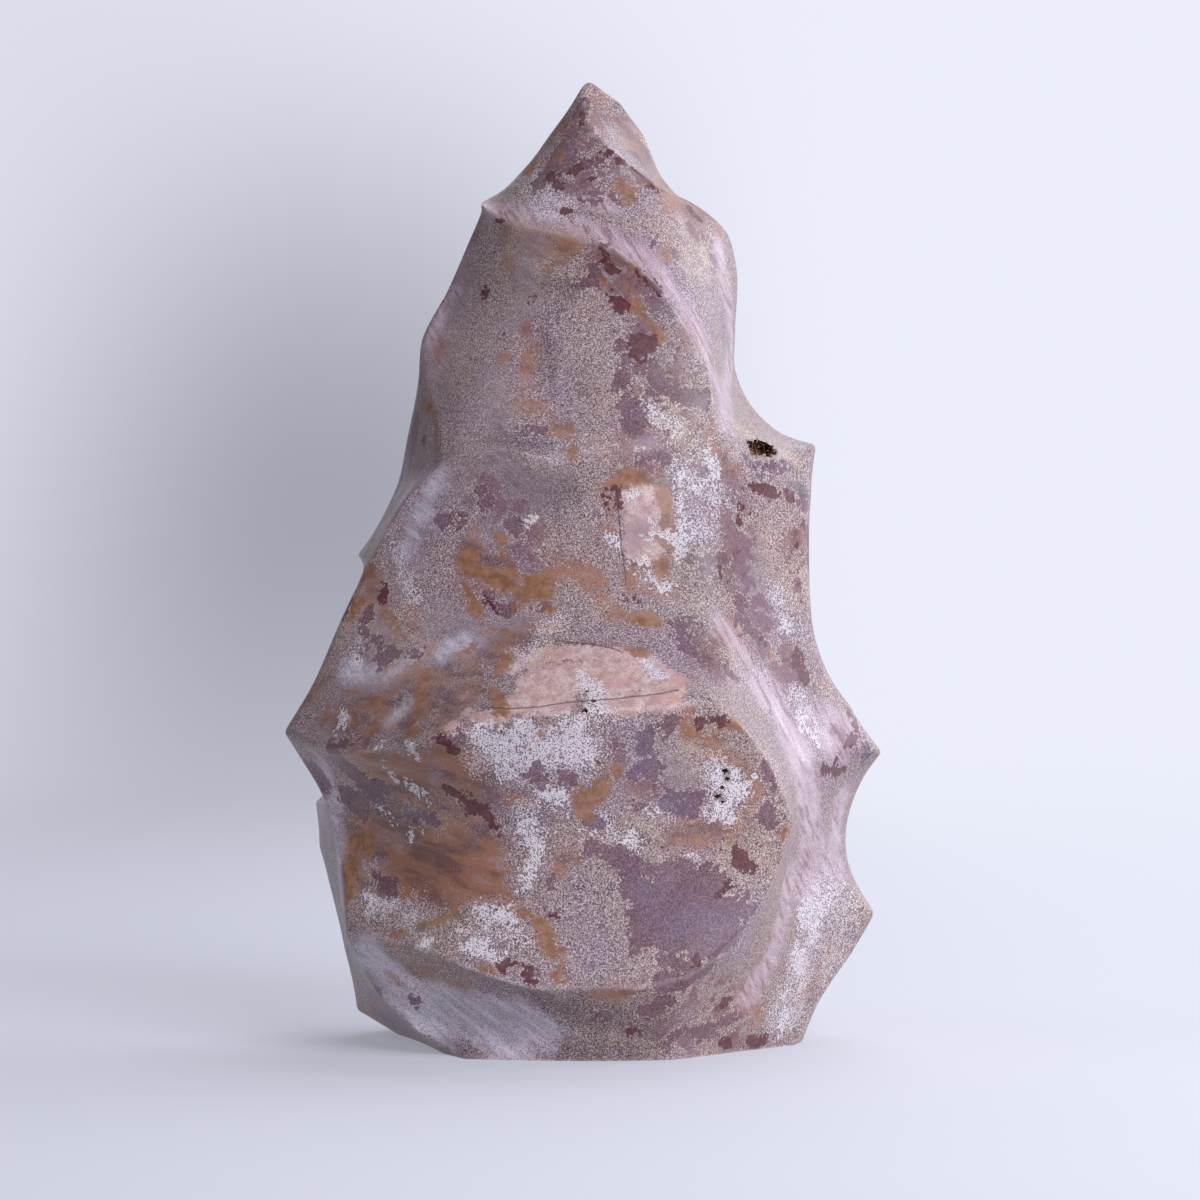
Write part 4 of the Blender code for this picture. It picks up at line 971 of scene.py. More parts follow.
def cut_holes(stone, surface, lining):
    """The cavity in the ledge and the small druses, all cut at once."""
    mesh = bpy.data.meshes.new("hole_cutter")
    work = bmesh.new()
    turn = Matrix.Rotation(math.radians(CAVITY_TILT), 3, "Y")
    rough_ball(work, CAVITY_AT, CAVITY_SIZE, turn, 1, CAVITY_FINENESS, CAVITY_UNEVENNESS)
    for number, (place, half, depth) in enumerate(DRUSES):
        spot, normal = seen_from_front(surface, place)
        turn = normal.to_track_quat("Z", "Y").to_matrix()
        axes = (half * 2, half * DRUSE_BREADTH, depth * 2)
        rough_ball(work, spot, axes, turn, number * 5, DRUSE_FINENESS, DRUSE_UNEVENNESS)
    work.to_mesh(mesh)
    work.free()
    mesh.materials.append(lining)
    cutter = link("hole_cutter", mesh)
    cut = stone.modifiers.new("holes", "BOOLEAN")
    cut.operation = "DIFFERENCE"
    cut.solver = "EXACT"
    cut.material_mode = "TRANSFER"
    cut.object = cutter
    made_real(stone)
    bpy.data.objects.remove(cutter)


# The fields that say how far each point of the stone is from each marking

# What the unseen sides get of each colour: how many strokes, and their least and greatest half width
BACK_STROKES = {
    "plum": (34, 1.0, 3.6),
    "maroon": (26, 0.5, 1.6),
    "ochre": (14, 0.8, 2.4),
    "rust": (12, 2.0, 5.0),
    "white": (9, 0.8, 2.4),
    "pink": (5, 2.0, 4.5),
    "coral": (4, 0.5, 1.2),
    "lilac": (14, 2.0, 5.0),
    "tan": (14, 2.0, 5.0),
    "green": (5, 0.4, 1.0),
    "mottled": (12, 3.0, 7.0),
    "clouded": (9, 3.0, 7.0),
    "pale": (7, 1.5, 3.6),
    "dusky_and_shade": (8, 3.0, 7.0),
    "cream": (8, 0.5, 1.4),
    "frost": (8, 2.0, 5.0),
    "smoke": (10, 3.0, 7.0),
    "ash": (4, 2.0, 4.0),
}

# A stroke there takes at most so many steps, each so many half widths long, and wanders so much
BACK_STEPS = 3
BACK_STEP = 1.8
BACK_WANDER = 0.5

# Where such strokes start: found by looking in from this far away, between these heights
LOOK_FROM = 80
BACK_LOWEST = 3
BACK_HIGHEST = 145

# How nearly edge on the front view sees what still counts as unseen
EDGE_ON = 0.03


def stroke_field(points, half, spots):
    """How far each point is from the edge of a stroke: below 0 is inside it."""
    nearest = numpy.full(len(points), numpy.inf)
    for first, second in zip(spots, spots[1:] or spots):
        start = numpy.array(first)
        run = numpy.array(second) - start
        length = run @ run
        along = numpy.clip((points - start) @ run / length, 0, 1) if length else numpy.zeros(len(points))
        gap = numpy.linalg.norm(points - start - along[:, None] * run, axis=1)
        nearest = numpy.minimum(nearest, gap)
    return nearest - half


def store_field(mesh, name, field):
    layer = mesh.attributes.new(name, "FLOAT", "POINT")
    layer.data.foreach_set("value", field.astype(numpy.float32))


def paint_field(mesh, name, strokes):
    """Store, for one colour, how far every point of the stone is from its nearest patch."""
    points = points_of(mesh)
    field = numpy.full(len(points), float(FIELD_REACH))
    for half, spots in strokes:
        field = numpy.minimum(field, stroke_field(points, half, spots))
    store_field(mesh, name, field)


def front_strokes(surface, strokes):
    """The listed strokes, each laid on the stone where the front view shows it."""
    return [
        (half, [seen_from_front(surface, place)[0] for place in places]) for half, *places in strokes
    ]


def is_unseen(spot, normal):
    """True where the front view doesn't show the stone, or shows it edge on."""
    sight = (spot - Vector(CAMERA_AT)).normalized()
    return sight.dot(normal) > EDGE_ON


def back_strokes(surface, chance, count, least, most):
    """Strokes laid out by chance where the photograph shows nothing."""
    strokes = []
    while len(strokes) < count:
        angle = chance.uniform(0, 2 * math.pi)
        around = Vector((math.cos(angle), math.sin(angle), 0)) * LOOK_FROM
        height = chance.uniform(BACK_LOWEST, BACK_HIGHEST)
        spot, normal, _, _ = surface.ray_cast(around + Vector((0, 0, height)), -around.normalized())
        if spot is None or not is_unseen(spot, normal):
            continue
        half = chance.uniform(least, most)
        spots = [spot]
        heading = Vector(chance.gauss(0, 1) for _ in range(3)).normalized()
        for _ in range(chance.randint(0, BACK_STEPS)):
            spot = surface.find_nearest(spots[-1] + heading * half * BACK_STEP)[0]
            spots.append(spot)
            heading = (heading + Vector(chance.gauss(0, BACK_WANDER) for _ in range(3))).normalized()
        strokes.append((half, spots))
    return strokes


def paint_markings(mesh, surface):
    chance = random.Random(SEED_BACK)
    for name, strokes in MARKINGS.items():
        laid = front_strokes(surface, strokes) + back_strokes(surface, chance, *BACK_STROKES[name])
        paint_field(mesh, name, laid)


def paint_cracks(mesh, surface):
    """Store how far every point lies to one side of the nearest crack, and FIELD_REACH far from all."""
    points = points_of(mesh)
    field = numpy.full(len(points), float(FIELD_REACH))
    for along, places in CRACKS:
        beside = 2 - along
        spots = [seen_from_front(surface, place)[0] for place in places]
        run = numpy.array([spot[along] for spot in spots])
        middle = numpy.interp(points[:, along], run, [spot[beside] for spot in spots])
        offset = points[:, beside] - middle
        on_front = points[:, 1] < max(spot.y for spot in spots) + CRACK_DEPTH
        past_end = numpy.maximum(run[0] - points[:, along], points[:, along] - run[-1])
        near = (numpy.abs(offset) < CRACK_REACH) & (past_end < 0) & on_front
        field = numpy.where(near & (numpy.abs(offset) < numpy.abs(field)), offset, field)
    store_field(mesh, "crack", field)


def paint_ridges(mesh):
    """Store how far every point is from the nearest crisp ridge, which places the painted highlight."""
    cage = named_points()
    strokes = []
    for line, sharpness in STRETCHES:
        if sharpness >= CRISP:
            strokes.append((0, [cage[name] / MM for name in line.split()]))
    paint_field(mesh, "ridge", strokes)


# Shader maths

class Value:
    """What a node puts out. Sums on it add Math nodes, so a finish is written as sums."""

    def __init__(self, finish, socket):
        self.finish = finish
        self.socket = socket

    def sum(self, operation, *terms):
        return self.finish.node("ShaderNodeMath", {"operation": operation}, dict(enumerate(terms)))

    def __add__(self, other):
        return self.sum("ADD", self, other)

    def __radd__(self, other):
        return self.sum("ADD", other, self)

    def __sub__(self, other):
        return self.sum("SUBTRACT", self, other)

    def __rsub__(self, other):
        return self.sum("SUBTRACT", other, self)

    def __mul__(self, other):
        return self.sum("MULTIPLY", self, other)

    def __rmul__(self, other):
        return self.sum("MULTIPLY", other, self)

    def __abs__(self):
        return self.sum("ABSOLUTE", self)

    def most(self, other):
        return self.sum("MAXIMUM", self, other)


class Finish:
    """A material while its nodes are put in."""

    def __init__(self, name):
        self.material = bpy.data.materials.new(name)
        self.material.use_nodes = True
        self.tree = self.material.node_tree
        self.tree.nodes.clear()

    def node(self, kind, settings=(), sockets=(), output=0):
        """Add one node: its settings first, then a value or a link for each socket named."""
        made = self.tree.nodes.new(kind)
        for setting, choice in dict(settings).items():
            setattr(made, setting, choice)
        for socket, given in dict(sockets).items():
            if isinstance(given, Value):
                self.tree.links.new(given.socket, made.inputs[socket])
            else:
                made.inputs[socket].default_value = given
        return Value(self, made.outputs[output])

    def place(self):
        """Where on the object, in millimetres."""
        at = self.node("ShaderNodeTexCoord", output="Object")
        return self.node("ShaderNodeVectorMath", {"operation": "SCALE"}, {0: at, "Scale": 1 / MM})

    def cloud(self, place, size, detail=2, roughness=0.5, distortion=0):
        """Soft noise whose lumps are about so many millimetres across, from 0 to 1."""
        sockets = {
            "Vector": place, "Scale": 1 / size, "Detail": detail, "Roughness": roughness,
            "Distortion": distortion,
        }
        return self.node("ShaderNodeTexNoise", {}, sockets, "Fac")

    def drawn_out(self, place, lean, lumps, roughness=0.6, distortion=0):
        """Noise drawn out into lumps of so many millimetres each way, leaning by so many degrees."""
        sockets = {"Vector": place, "Rotation": (0, math.radians(lean), 0), "Scale": lumps}
        turned = self.node("ShaderNodeMapping", {"vector_type": "TEXTURE"}, sockets)
        return self.cloud(turned, 1, 3, roughness, distortion)

    def field(self, name):
        """A layer painted on the mesh."""
        return self.node("ShaderNodeAttribute", {"attribute_name": name}, {}, "Fac")

    def step(self, value, start, end):
        """0 before start, 1 past end, and smooth between them."""
        sockets = {"Value": value, "From Min": start, "From Max": end}
        return self.node("ShaderNodeMapRange", {"interpolation_type": "SMOOTHSTEP"}, sockets)

    def mix(self, mask, under, over):
        """One colour over another where the mask is 1. Either is a value, or the name of a paint."""
        under, over = (paint(colour) if isinstance(colour, str) else colour for colour in (under, over))
        return self.node("ShaderNodeMix", {"data_type": "RGBA"}, {0: mask, 6: under, 7: over}, 2)

    def shine(self, colour, roughness, height, depth, **constants):
        """Close the material with its one shader."""
        normal = self.node(
            "ShaderNodeBump", {}, {"Height": height, "Distance": MM, "Strength": depth}, "Normal"
        )
        sockets = {"Base Color": colour, "Roughness": roughness, "Normal": normal}
        for name, constant in constants.items():
            sockets[name.replace("_", " ")] = constant
        return self.close(self.node("ShaderNodeBsdfPrincipled", {}, sockets))

    def close(self, shader):
        """Join the shader to the material's output."""
        end = self.tree.nodes.new("ShaderNodeOutputMaterial")
        self.tree.links.new(shader.socket, end.inputs["Surface"])
        return self.material


# The paints, each in red, green and blue as a screen shows them, from 0 to 255
PAINTS = {
    # the ground, and the pale and dark grains in it
    "pinkish grey": (137, 116, 122),
    "warm grey": (148, 124, 118),
    "tan wash": (172, 146, 124),
    "lilac wash": (138, 116, 132),
    "dusky wash": (98, 80, 82),
    "mauve blush": (118, 88, 94),
    "cream salt": (210, 192, 182),
    "black pepper": (54, 38, 48),
    # the smooth veils
    "veil plum": (92, 63, 64),
    "veil brown": (122, 90, 80),
    "veil ochre": (142, 104, 82),
    "veil lilac": (146, 126, 136),
    "veil salt": (190, 168, 160),
    "smoke": (122, 105, 112),
    "pale smoke": (146, 127, 132),
    "ash": (173, 165, 173),
    "pale ash": (207, 200, 208),
    "ash pepper": (96, 84, 90),
    # the small pieces of the broken zones
    "plum piece": (112, 78, 90),
    "brown piece": (118, 78, 74),
    "maroon crumb": (96, 56, 62),
    # the patches
    "rust": (114, 79, 70),
    "bright rust": (148, 101, 77),
    "lilac wisp": (158, 134, 136),
    "rust pepper": (80, 56, 58),
    "groove plum": (140, 106, 113),
    "groove pink": (182, 158, 166),
    "groove white": (203, 186, 192),
    "groove pepper": (112, 84, 94),
    "rose": (180, 146, 140),
    "pale rose": (208, 181, 172),
    "rose ochre": (182, 144, 118),
    "rose pepper": (122, 90, 90),
    "rose lilac": (150, 120, 132),
    "coral": (192, 140, 132),
    "chalk": (214, 205, 206),
    "chalk pepper": (82, 62, 74),
    "plum": (97, 63, 71),
    "pale plum": (110, 78, 88),
    "lilac plum": (104, 86, 108),
    "brown plum": (106, 70, 74),
    "plum salt": (160, 140, 152),
    "plum pepper": (62, 40, 50),
    "cream rim": (214, 196, 184),
    "ochre": (124, 82, 56),
    "bright ochre": (150, 108, 80),
    "maroon": (80, 34, 40),
    "pale maroon": (98, 52, 56),
    "cream": (202, 182, 164),
    "green": (88, 92, 82),
    # cracks, and the painted highlight along the crisp ridges
    "crack brown": (80, 54, 46),
    "painted highlight pink": (206, 188, 186),
    # the lining of the holes, and the crystals
    "crust brown": (62, 38, 28),
    "crust tan": (128, 88, 66),
    "quartz root": (104, 68, 50),
    "quartz": (172, 132, 108),
    # the studio's paper and sky; the paper's glow has painted shade, dimmer to the left and in front, and a
    # painted shadow of the stone
    "paper": (164, 165, 168),
    "paper glow painted dim left": (221, 222, 236),
    "paper glow right": (236, 238, 251),
    "paper glow painted dim far left": (108, 108, 119),
    "painted paper shadow": (156, 156, 170),
    "paper front painted dim left": (84, 85, 94),
    "paper front painted dim right": (152, 153, 162),
    "sky": (225, 227, 240),
}


def linear(level):
    """One level of a screen colour, from 0 to 255, as light from 0 to 1."""
    level = level / 255
    return level / 12.92 if level <= 0.04045 else ((level + 0.055) / 1.055) ** 2.4


def paint(name):
    """A paint for a shader socket."""
    red, green, blue = PAINTS[name]
    return (linear(red), linear(green), linear(blue), 1)


# The jasper

# The edge of each colour's patches: how strongly large and small noise moves it, and how many
# millimetres it fades to each side
EDGES = {
    "tan": (12, 2, 3.5),
    "lilac": (12, 2, 3.5),
    "dusky_and_shade": (10, 2, 2.5),
    "clouded": (9, 2, 1.2),
    "smoke": (10, 2, 3),
    "ash": (6, 2, 1.6),
    "mottled": (6, 2, 2),
    "rust": (9, 3, 1.4),
    "pale": (4, 2, 1.5),
    "pink": (4, 2, 0.3),
    "coral": (5, 3, 0.9),
    "white": (8, 5, 0.8),
    "frost": (10, 3, 2.6),
    "plum": (8, 3, 0.15),
    "ochre": (6, 3, 0.6),
    "maroon": (6, 2.2, 0.12),
    "cream": (5, 3, 1.1),
    "green": (3, 2, 0.3),
}

# How much of what lies under it a colour hides
COVERS = {
    "tan": 0.7,
    "lilac": 0.7,
    "dusky_and_shade": 0.8,
    "clouded": 0.78,
    "smoke": 0.55,
    "ash": 0.78,
    "rust": 0.82,
    "pale": 0.7,
    "pink": 0.9,
    "coral": 0.55,
    "frost": 0.58,
    "plum": 0.88,
    "ochre": 0.9,
    "maroon": 0.9,
    "green": 0.62,
}

# How light bends in polished jasper and in quartz, and how strongly the polish reflects
BENDING = 1.54
POLISH = 0.36


class Jasper(Finish):
    """Fine salt and pepper jasper with ragged patches of plum, maroon, ochre, rust, pink and chalk."""

    def __init__(self):
        super().__init__("polished_jasper")
        place = self.place()
        # rounded lumps, from the broad drift of the ground down to the crumbs at a patch's edge
        self.broad = self.cloud(place, 18, 2, 0.55)
        self.swirl = self.cloud(place, 10, 3, 0.55, 1.4)
        self.middling = self.cloud(place, 4, 4, 0.62)
        self.small = self.cloud(place, 1.6, 3, 0.65)
        self.fine = self.cloud(place, 0.7, 1, 0.6)
        # lumps drawn out along the hollows, each family leaning its own way
        self.streak = self.drawn_out(place, 38, (9, 4, 1.1))
        self.groove = self.drawn_out(place, 62, (11, 4, 0.8))
        self.sweep = self.drawn_out(place, 12, (13, 6, 2.2), 0.55, 0.4)
        # the grain
        self.grain = self.cloud(place, 0.24, 0.5, 0.6)
        self.salt = self.step(self.grain, 0.5, 0.6)
        self.dark = self.step(self.cloud(place, 0.21, 0.5, 0.5), 0.46, 0.39)
        self.edges = {name: self.edge_of(name) for name in EDGES}
        self.patches = {name: self.patch(name) for name in EDGES}
        self.sprinkled = self.chalk_grains()

    def edge_of(self, name):
        """How far each point is from a colour's patches, once noise has made their edges ragged."""
        ragged, crumbly, _ = EDGES[name]
        return self.field(name) + (self.middling - 0.5) * ragged + (self.fine - 0.5) * crumbly

    def patch(self, name):
        """1 inside a colour's patches and 0 outside."""
        softness = EDGES[name][2]
        return self.step(self.edges[name], softness, -softness)

    def chalk_grains(self):
        """The grains of chalk: close together in the white patches, loose in the frosted ones."""
        frosted = self.patches["frost"] * COVERS["frost"]
        return self.step(self.patches["white"].most(frosted) + (self.grain - 0.5) * 1.6, 0.4, 0.6)

    def lay(self, name, under, over):
        """Lay a colour's patches over what is there."""
        return self.mix(self.patches[name] * COVERS[name], under, over)

    def ground(self):
        """Pinkish grey with broad washes, salted with cream and peppered with dark plum."""
        ground = self.mix(self.step(self.broad, 0.38, 0.62), "pinkish grey", "warm grey")
        ground = self.lay("tan", ground, "tan wash")
        ground = self.lay("lilac", ground, "lilac wash")
        # The dusky patches are partly painted shade, under the belly and under the shelf.
        ground = self.lay("dusky_and_shade", ground, "dusky wash")
        ground = self.mix(self.step(self.small, 0.5, 0.66) * 0.4, ground, "mauve blush")
        ground = self.mix(self.salt * (0.6 - self.patches["dusky_and_shade"] * 0.22), ground, "cream salt")
        return self.mix(self.dark * 0.8, ground, "black pepper")

    def veiled(self, colour):
        """Smooth veils with brown, ochre and plum drifting through them, then smoke and ash."""
        veil = self.mix(self.step(self.sweep, 0.36, 0.5), "veil plum", "veil brown")
        veil = self.mix(self.step(self.sweep, 0.5, 0.6), veil, "veil ochre")
        veil = self.mix(self.step(self.middling, 0.56, 0.72) * 0.6, veil, "veil lilac")
        veil = self.mix(self.salt * 0.18, veil, "veil salt")
        colour = self.lay("clouded", colour, veil)
        smoke = self.mix(self.step(self.streak, 0.38, 0.62), "smoke", "pale smoke")
        colour = self.lay("smoke", colour, smoke)
        ash = self.mix(self.step(self.streak, 0.36, 0.64), "ash", "pale ash")
        return self.lay("ash", colour, self.mix(self.dark * 0.45, ash, "ash pepper"))

    def broken(self, colour):
        """Zones broken into small plum and maroon pieces."""
        mottled = self.patches["mottled"]
        pieces = self.mix(self.step(self.broad, 0.4, 0.6), "plum piece", "brown piece")
        colour = self.mix(self.step(self.middling, 0.5, 0.54) * mottled * 0.75, colour, pieces)
        return self.mix(self.step(self.small, 0.6, 0.64) * mottled * 0.6, colour, "maroon crumb")

    def rusted(self, colour):
        rust = self.mix(self.step(self.sweep, 0.36, 0.52), "rust", "bright rust")
        rust = self.mix(self.step(self.sweep, 0.58, 0.7) * 0.6, rust, "lilac wisp")
        return self.lay("rust", colour, self.mix(self.dark * 0.2, rust, "rust pepper"))

    def grooved(self, colour):
        """The pale hollows, streaked along the groove: partly pale stone, partly a painted sheen."""
        pale = self.mix(self.step(self.groove, 0.37, 0.47), "groove plum", "groove pink")
        pale = self.mix(self.step(self.groove, 0.5, 0.66), pale, "groove white")
        # These pale streaks are partly a painted sheen on the hollows and the right faces.
        return self.lay("pale", colour, self.mix(self.dark * 0.35, pale, "groove pepper"))

    def rosy(self, colour):
        """The pink lens and its coral rims."""
        rose = self.mix(self.step(self.small, 0.35, 0.65), "rose", "pale rose")
        rose = self.mix(self.step(self.swirl, 0.5, 0.66) * 0.7, rose, "rose ochre")
        rose = self.mix(self.dark * 0.4, rose, "rose pepper")
        rose = self.mix(self.patches["lilac"] * 0.8, rose, "rose lilac")
        return self.lay("coral", self.lay("pink", colour, rose), "coral")

    def chalked(self, colour):
        chalk = self.mix(self.dark * 0.85, "chalk", "chalk pepper")
        return self.mix(self.sprinkled * (0.66 + self.patches["white"] * 0.24), colour, chalk)

    def plummed(self, colour):
        """The plum patches, inside a thin rim of cream grains."""
        lumps = self.swirl + (self.fine - 0.5) * 0.5
        plum = self.mix(self.step(lumps, 0.4, 0.58), "plum", "pale plum")
        plum = self.mix(self.patches["lilac"] * 0.7, plum, "lilac plum")
        plum = self.mix(self.step(self.small, 0.5, 0.66) * 0.6, plum, "brown plum")
        plum = self.mix(self.salt * 0.22, plum, "plum salt")
        plum = self.mix(self.dark * 0.45, plum, "plum pepper")
        rim = self.step(self.edges["plum"], 1.1, 0.2) * self.salt
        return self.lay("plum", self.mix(rim * 0.35, colour, "cream rim"), plum)

    def spotted(self, colour):
        """The ochre and maroon spots, and the flecks of cream and green."""
        ochre = self.mix(self.step(self.small, 0.35, 0.65), "ochre", "bright ochre")
        colour = self.lay("ochre", colour, ochre)
        maroon = self.mix(self.step(self.fine, 0.4, 0.65), "maroon", "pale maroon")
        colour = self.lay("maroon", colour, maroon)
        colour = self.mix(self.patches["cream"] * (0.15 + self.salt * 0.45), colour, "cream")
        return self.lay("green", colour, "green")

    def cracks(self):
        """1 along the middle of each hairline crack."""
        wander = self.field("crack") + (self.small - 0.5) * 0.5
        return self.step(abs(wander), 0.16, 0.05)

    def ridge_highlight(self, colour):
        """A painted highlight along the crisp ridges: a pale line where they catch the light."""
        ridge = self.step(self.field("ridge") + (self.small - 0.5) * 0.6, 0.6, 0.05)
        return self.mix(ridge * 0.16, colour, "painted highlight pink")

    def smooth(self):
        """1 on the dense patches, which took the best polish."""
        smooth = self.patches["plum"]
        for name in ("ochre", "maroon", "clouded", "pale", "pink"):
            smooth = smooth.most(self.patches[name])
        return smooth


def polished_jasper():
    """The whole finish: the ground, and each family of markings laid over the last."""
    jasper = Jasper()
    colour = jasper.ground()
    for lay in (
        jasper.veiled, jasper.broken, jasper.rusted, jasper.grooved, jasper.rosy, jasper.chalked,
        jasper.plummed, jasper.spotted,
    ):
        colour = lay(colour)
    crack = jasper.cracks()
    # The pale line along the crisp ridges is a painted highlight.
    colour = jasper.ridge_highlight(jasper.mix(crack * 0.7, colour, "crack brown"))
    unevenness = (jasper.small - 0.5) * 0.1
    roughness = 0.43 - jasper.smooth() * 0.12 + jasper.sprinkled * 0.1 + unevenness
    height = jasper.dark * -0.005 + (jasper.middling - 0.5) * 0.02 - crack * 0.08
    return jasper.shine(colour, roughness, height, 0.6, IOR=BENDING, Specular_IOR_Level=POLISH)


# The holes and their crystals

def druse_lining():
    """The brown crust of small crystals inside the holes."""
    finish = Finish("druse_lining")
    lumps = finish.cloud(finish.place(), 0.5, 3, 0.7)
    colour = finish.mix(finish.step(lumps, 0.4, 0.65), "crust brown", "crust tan")
    return finish.shine(colour, 0.35 + lumps * 0.2, lumps, 0.8)


def smoky_quartz():
    """The crystals themselves, clouded with brown."""
    finish = Finish("smoky_quartz")
    veil = finish.cloud(finish.place(), 0.8, 2)
    colour = finish.mix(finish.step(veil, 0.4, 0.65), "quartz root", "quartz")
    return finish.shine(colour, 0.12 + veil * 0.1, veil, 0.2, IOR=BENDING)


# The crystals in the cavity: how many, their least and greatest width, how long each is and how high
# its point, in widths, how far it leans, and how many sides it has
CRYSTALS = 170
CRYSTAL_WIDTHS = (0.16, 0.34)
CRYSTAL_LENGTHS = (1.6, 2.6)
CRYSTAL_POINT = 0.8
CRYSTAL_LEAN = 0.35
CRYSTAL_SIDES = 6

# The number that the cut gives the lining, after the jasper's 0
LINING = 1


def cavity_walls(stone):
    """The faces that line the cavity, and not the smaller druses."""
    walls = [face for face in stone.data.polygons if face.material_index == LINING]
    middle = Vector(CAVITY_AT)
    return [face for face in walls if (face.center / MM - middle).length < max(CAVITY_SIZE)]


def add_crystal(work, width, length, there):
    """One six-sided crystal: a shaft, and a point on its end."""
    half = width / 2
    shaft = bmesh.ops.create_cone(
        work, segments=CRYSTAL_SIDES, radius1=half, radius2=half, depth=length, cap_ends=True
    )
    high = width * CRYSTAL_POINT
    point = bmesh.ops.create_cone(
        work, segments=CRYSTAL_SIDES, radius1=half, radius2=0, depth=high, cap_ends=True
    )
    for vertex in point["verts"]:
        vertex.co.z += length / 2 + high / 2
    for vertex in shaft["verts"] + point["verts"]:
        vertex.co = there @ vertex.co


def grow_crystals(stone, material):
    """Small crystals all over the wall of the cavity."""
    chance = random.Random(SEED_CRYSTALS)
    walls = cavity_walls(stone)
    work = bmesh.new()
    for face in chance.sample(walls, min(len(walls), CRYSTALS)):
        width = chance.uniform(*CRYSTAL_WIDTHS)
        length = width * chance.uniform(*CRYSTAL_LENGTHS)
        lean = Vector(chance.gauss(0, CRYSTAL_LEAN) for _ in range(3))
        turn = (face.normal + lean).to_track_quat("Z", "Y").to_matrix().to_4x4()
        spin = Matrix.Rotation(chance.uniform(0, math.pi), 4, "Z")
        add_crystal(work, width, length, Matrix.Translation(face.center / MM) @ turn @ spin)
    mesh = bpy.data.meshes.new("cavity_crystals")
    work.to_mesh(mesh)
    work.free()
    mesh.transform(Matrix.Scale(MM, 4))
    mesh.materials.append(material)
    return link("cavity_crystals", mesh)


# The studio

STUDIO_FLOOR = 900
STUDIO_WALL = 1800
STUDIO_HEIGHT = 2300
STUDIO_SIDES = 96
FLOOR_STEPS = 6
CURVE_STEPS = 16

# How strongly the paper glows where the lamps light it, and how rough it is
PAPER_GLOW = 0.42
PAPER_ROUGHNESS = 0.9
PAPER_SHINE = 0.1

# Each soft lamp: how far round the stone from the camera's side it stands, how high, both in
# degrees, how wide it is, and its power
LAMP_DISTANCE = 1250
LAMP_AIM = (0, 0, 75)
LAMPS = {
    "front_right_card": (30, 24, 800, 15.5),
    "window": (110, 6, 1100, 10.5),
    "light_from_behind": (158, 56, 900, 7.0),
    "left_card": (-75, 42, 600, 1.2),
}
DAYLIGHT = (0.94, 0.955, 1.09)
SKY_STRENGTH = 0.35

# The width of the camera's film, in millimetres of film, and how near and far it sees, in metres
FILM_WIDTH = 36
SEES_FROM = 0.02
SEES_TO = 20


def paper_colour(finish, place):
    """Pale, with painted shade: darker to the left, a painted shadow of the stone behind its left side, and
    dim in front.
    """
    across = finish.node("ShaderNodeSeparateXYZ", {}, {0: place}, "X")
    deep = finish.node("ShaderNodeSeparateXYZ", {}, {0: place}, "Y")
    up = finish.node("ShaderNodeSeparateXYZ", {}, {0: place}, "Z")
    # Painted shade: the paper glows a little dimmer to the left, and much dimmer far to the left.
    colour = finish.mix(finish.step(across, -300, 150), "paper glow painted dim left", "paper glow right")
    colour = finish.mix(finish.step(across, -400, -850), colour, "paper glow painted dim far left")
    # A painted shadow of the stone, on the paper behind its left side.
    painted_shadow = finish.step(abs(across + 120), 230, 10) * finish.step(abs(up - 110), 310, 0)
    colour = finish.mix(painted_shadow * 0.9, colour, "painted paper shadow")
    # Painted shade: the paper in front glows dim, dimmest to the left.
    front = finish.mix(finish.step(across, -900, 900), "paper front painted dim left", "paper front painted dim right")
    return finish.mix(finish.step(deep, -450, -150), front, colour)


def studio_paper():
    """Pale paper that is lit round the stone and only glows further off."""
    finish = Finish("pale_paper")
    place = finish.place()
    colour = paper_colour(finish, place)
    near = finish.node("ShaderNodeBsdfPrincipled", {}, {
        "Base Color": paint("paper"), "Roughness": PAPER_ROUGHNESS, "Specular IOR Level": PAPER_SHINE,
        "Emission Color": colour, "Emission Strength": PAPER_GLOW,
    })
    far = finish.node("ShaderNodeBsdfPrincipled", {}, {
        "Base Color": (0, 0, 0, 1), "Specular IOR Level": 0, "Emission Color": colour,
        "Emission Strength": 1,
    })
    reach = finish.node("ShaderNodeVectorMath", {"operation": "LENGTH"}, {0: place}, "Value")
    further = finish.step(reach, 120, 1100)
    paper = finish.close(finish.node("ShaderNodeMixShader", {}, {0: further, 1: near, 2: far}))
    paper.cycles.emission_sampling = "NONE"
    return paper


def studio_profile():
    """The radius and height of each ring of the paper, from the middle out and up."""
    curve = STUDIO_WALL - STUDIO_FLOOR
    profile = [(STUDIO_FLOOR * step / FLOOR_STEPS, 0) for step in range(1, FLOOR_STEPS + 1)]
    for step in range(1, CURVE_STEPS + 1):
        angle = math.radians(90 * step / CURVE_STEPS)
        profile.append((STUDIO_FLOOR + curve * math.sin(angle), curve * (1 - math.cos(angle))))
    profile.append((STUDIO_WALL, STUDIO_HEIGHT))
    return profile


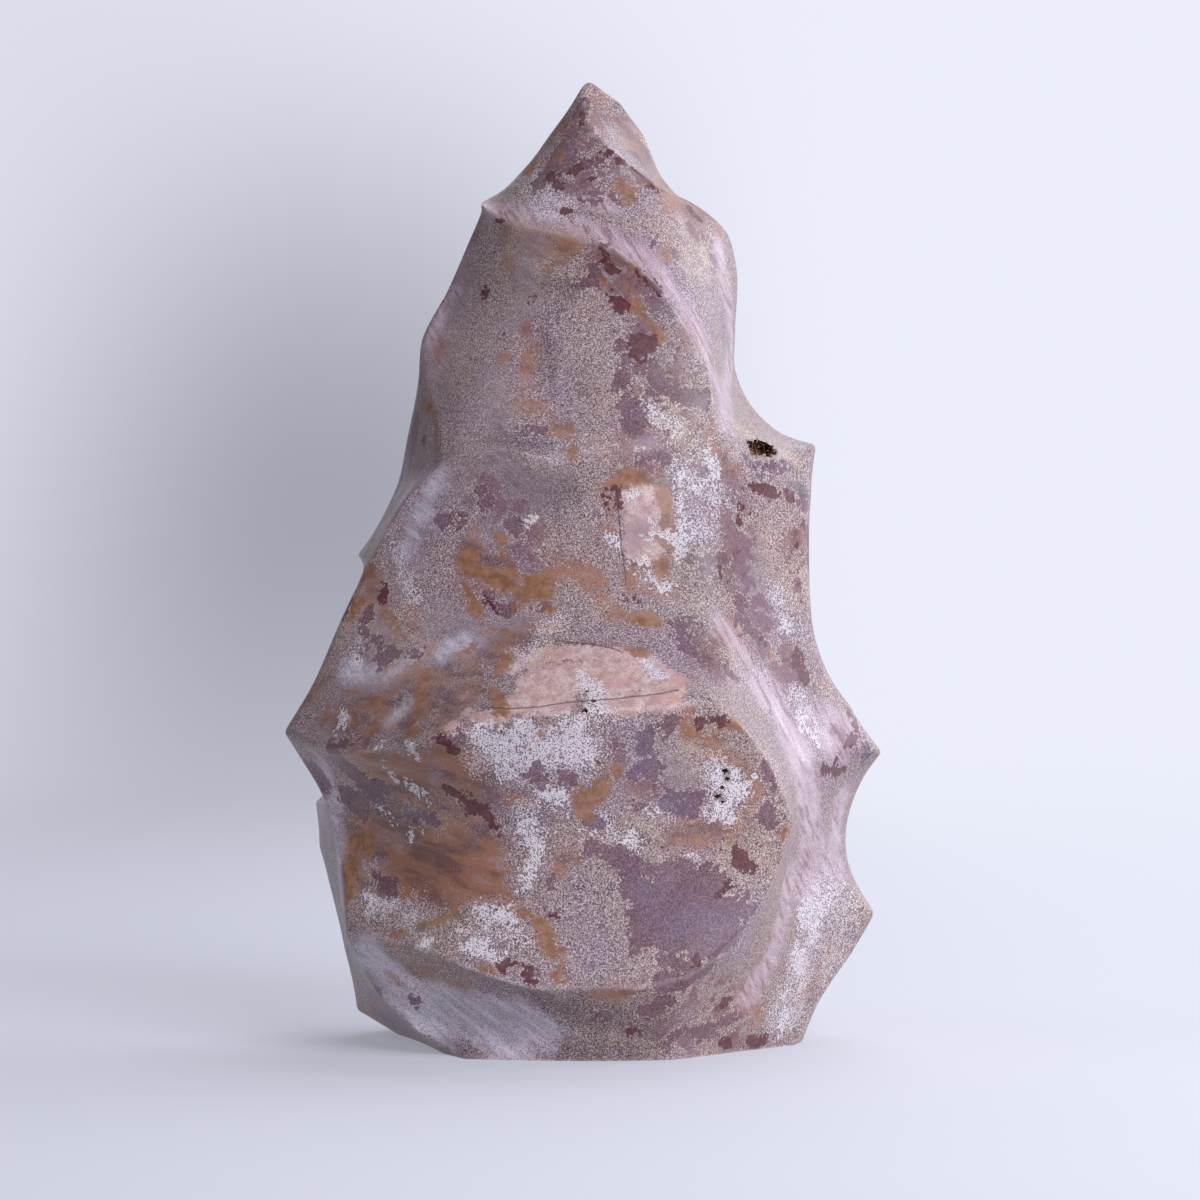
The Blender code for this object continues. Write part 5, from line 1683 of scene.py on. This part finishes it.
def build_studio():
    """A round bowl of paper: flat in the middle, curving up into a wall, open above."""
    points = [(0, 0, 0)]
    rings = []
    for radius, height in studio_profile():
        rings.append(range(len(points), len(points) + STUDIO_SIDES))
        for side in range(STUDIO_SIDES):
            angle = 2 * math.pi * side / STUDIO_SIDES
            points.append((radius * math.cos(angle), radius * math.sin(angle), height))
    faces = []
    for side in range(STUDIO_SIDES):
        after = (side + 1) % STUDIO_SIDES
        faces.append((0, rings[0][side], rings[0][after]))
        for low, high in zip(rings, rings[1:]):
            faces.append((low[side], high[side], high[after], low[after]))
    mesh = bpy.data.meshes.new("studio")
    mesh.from_pydata([Vector(point) * MM for point in points], [], faces)
    mesh.materials.append(studio_paper())
    for face in mesh.polygons:
        face.use_smooth = True
    studio = link("studio", mesh)


def hang_lamp(name, around, height, width, power):
    """One square soft lamp, turned towards the middle of the stone."""
    lamp = bpy.data.lights.new(name, "AREA")
    lamp.size = width * MM
    lamp.energy = power
    lamp.color = DAYLIGHT
    turn = math.radians(around)
    tilt = math.radians(height)
    towards = Vector((
        math.sin(turn) * math.cos(tilt), -math.cos(turn) * math.cos(tilt), math.sin(tilt)
    ))
    thing = link(name, lamp)
    thing.location = (Vector(LAMP_AIM) + towards * LAMP_DISTANCE) * MM
    thing.rotation_euler = towards.to_track_quat("Z", "Y").to_euler()


def light_studio():
    for name, settings in LAMPS.items():
        hang_lamp(name, *settings)
    world = bpy.data.worlds.new("sky")
    world.use_nodes = True
    sky = world.node_tree.nodes["Background"]
    sky.inputs["Color"].default_value = paint("sky")
    sky.inputs["Strength"].default_value = SKY_STRENGTH
    bpy.context.scene.world = world


def place_camera():
    camera = bpy.data.cameras.new("camera")
    camera.lens = CAMERA_LENS
    camera.sensor_width = FILM_WIDTH
    camera.clip_start = SEES_FROM
    camera.clip_end = SEES_TO
    thing = link("camera", camera)
    thing.location = Vector(CAMERA_AT) * MM
    thing.rotation_euler = (math.radians(90), 0, 0)
    bpy.context.scene.camera = thing


place_camera()
build_studio()
light_studio()
bpy.context.scene.view_settings.view_transform = "Standard"

lining = druse_lining()
stone = carve_stone()
stone.name = "polished_stone"
stone.data.materials.append(polished_jasper())
surface = surface_of(stone.data)
cut_holes(stone, surface, lining)
paint_markings(stone.data, surface)
paint_cracks(stone.data, surface)
paint_ridges(stone.data)
for face in stone.data.polygons:
    face.use_smooth = True
stone.data.set_sharp_from_angle(angle=math.radians(SHARP_FROM))
crystals = grow_crystals(stone, smoky_quartz())

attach(stone, "root")
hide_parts(NODE)
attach(crystals, "root")
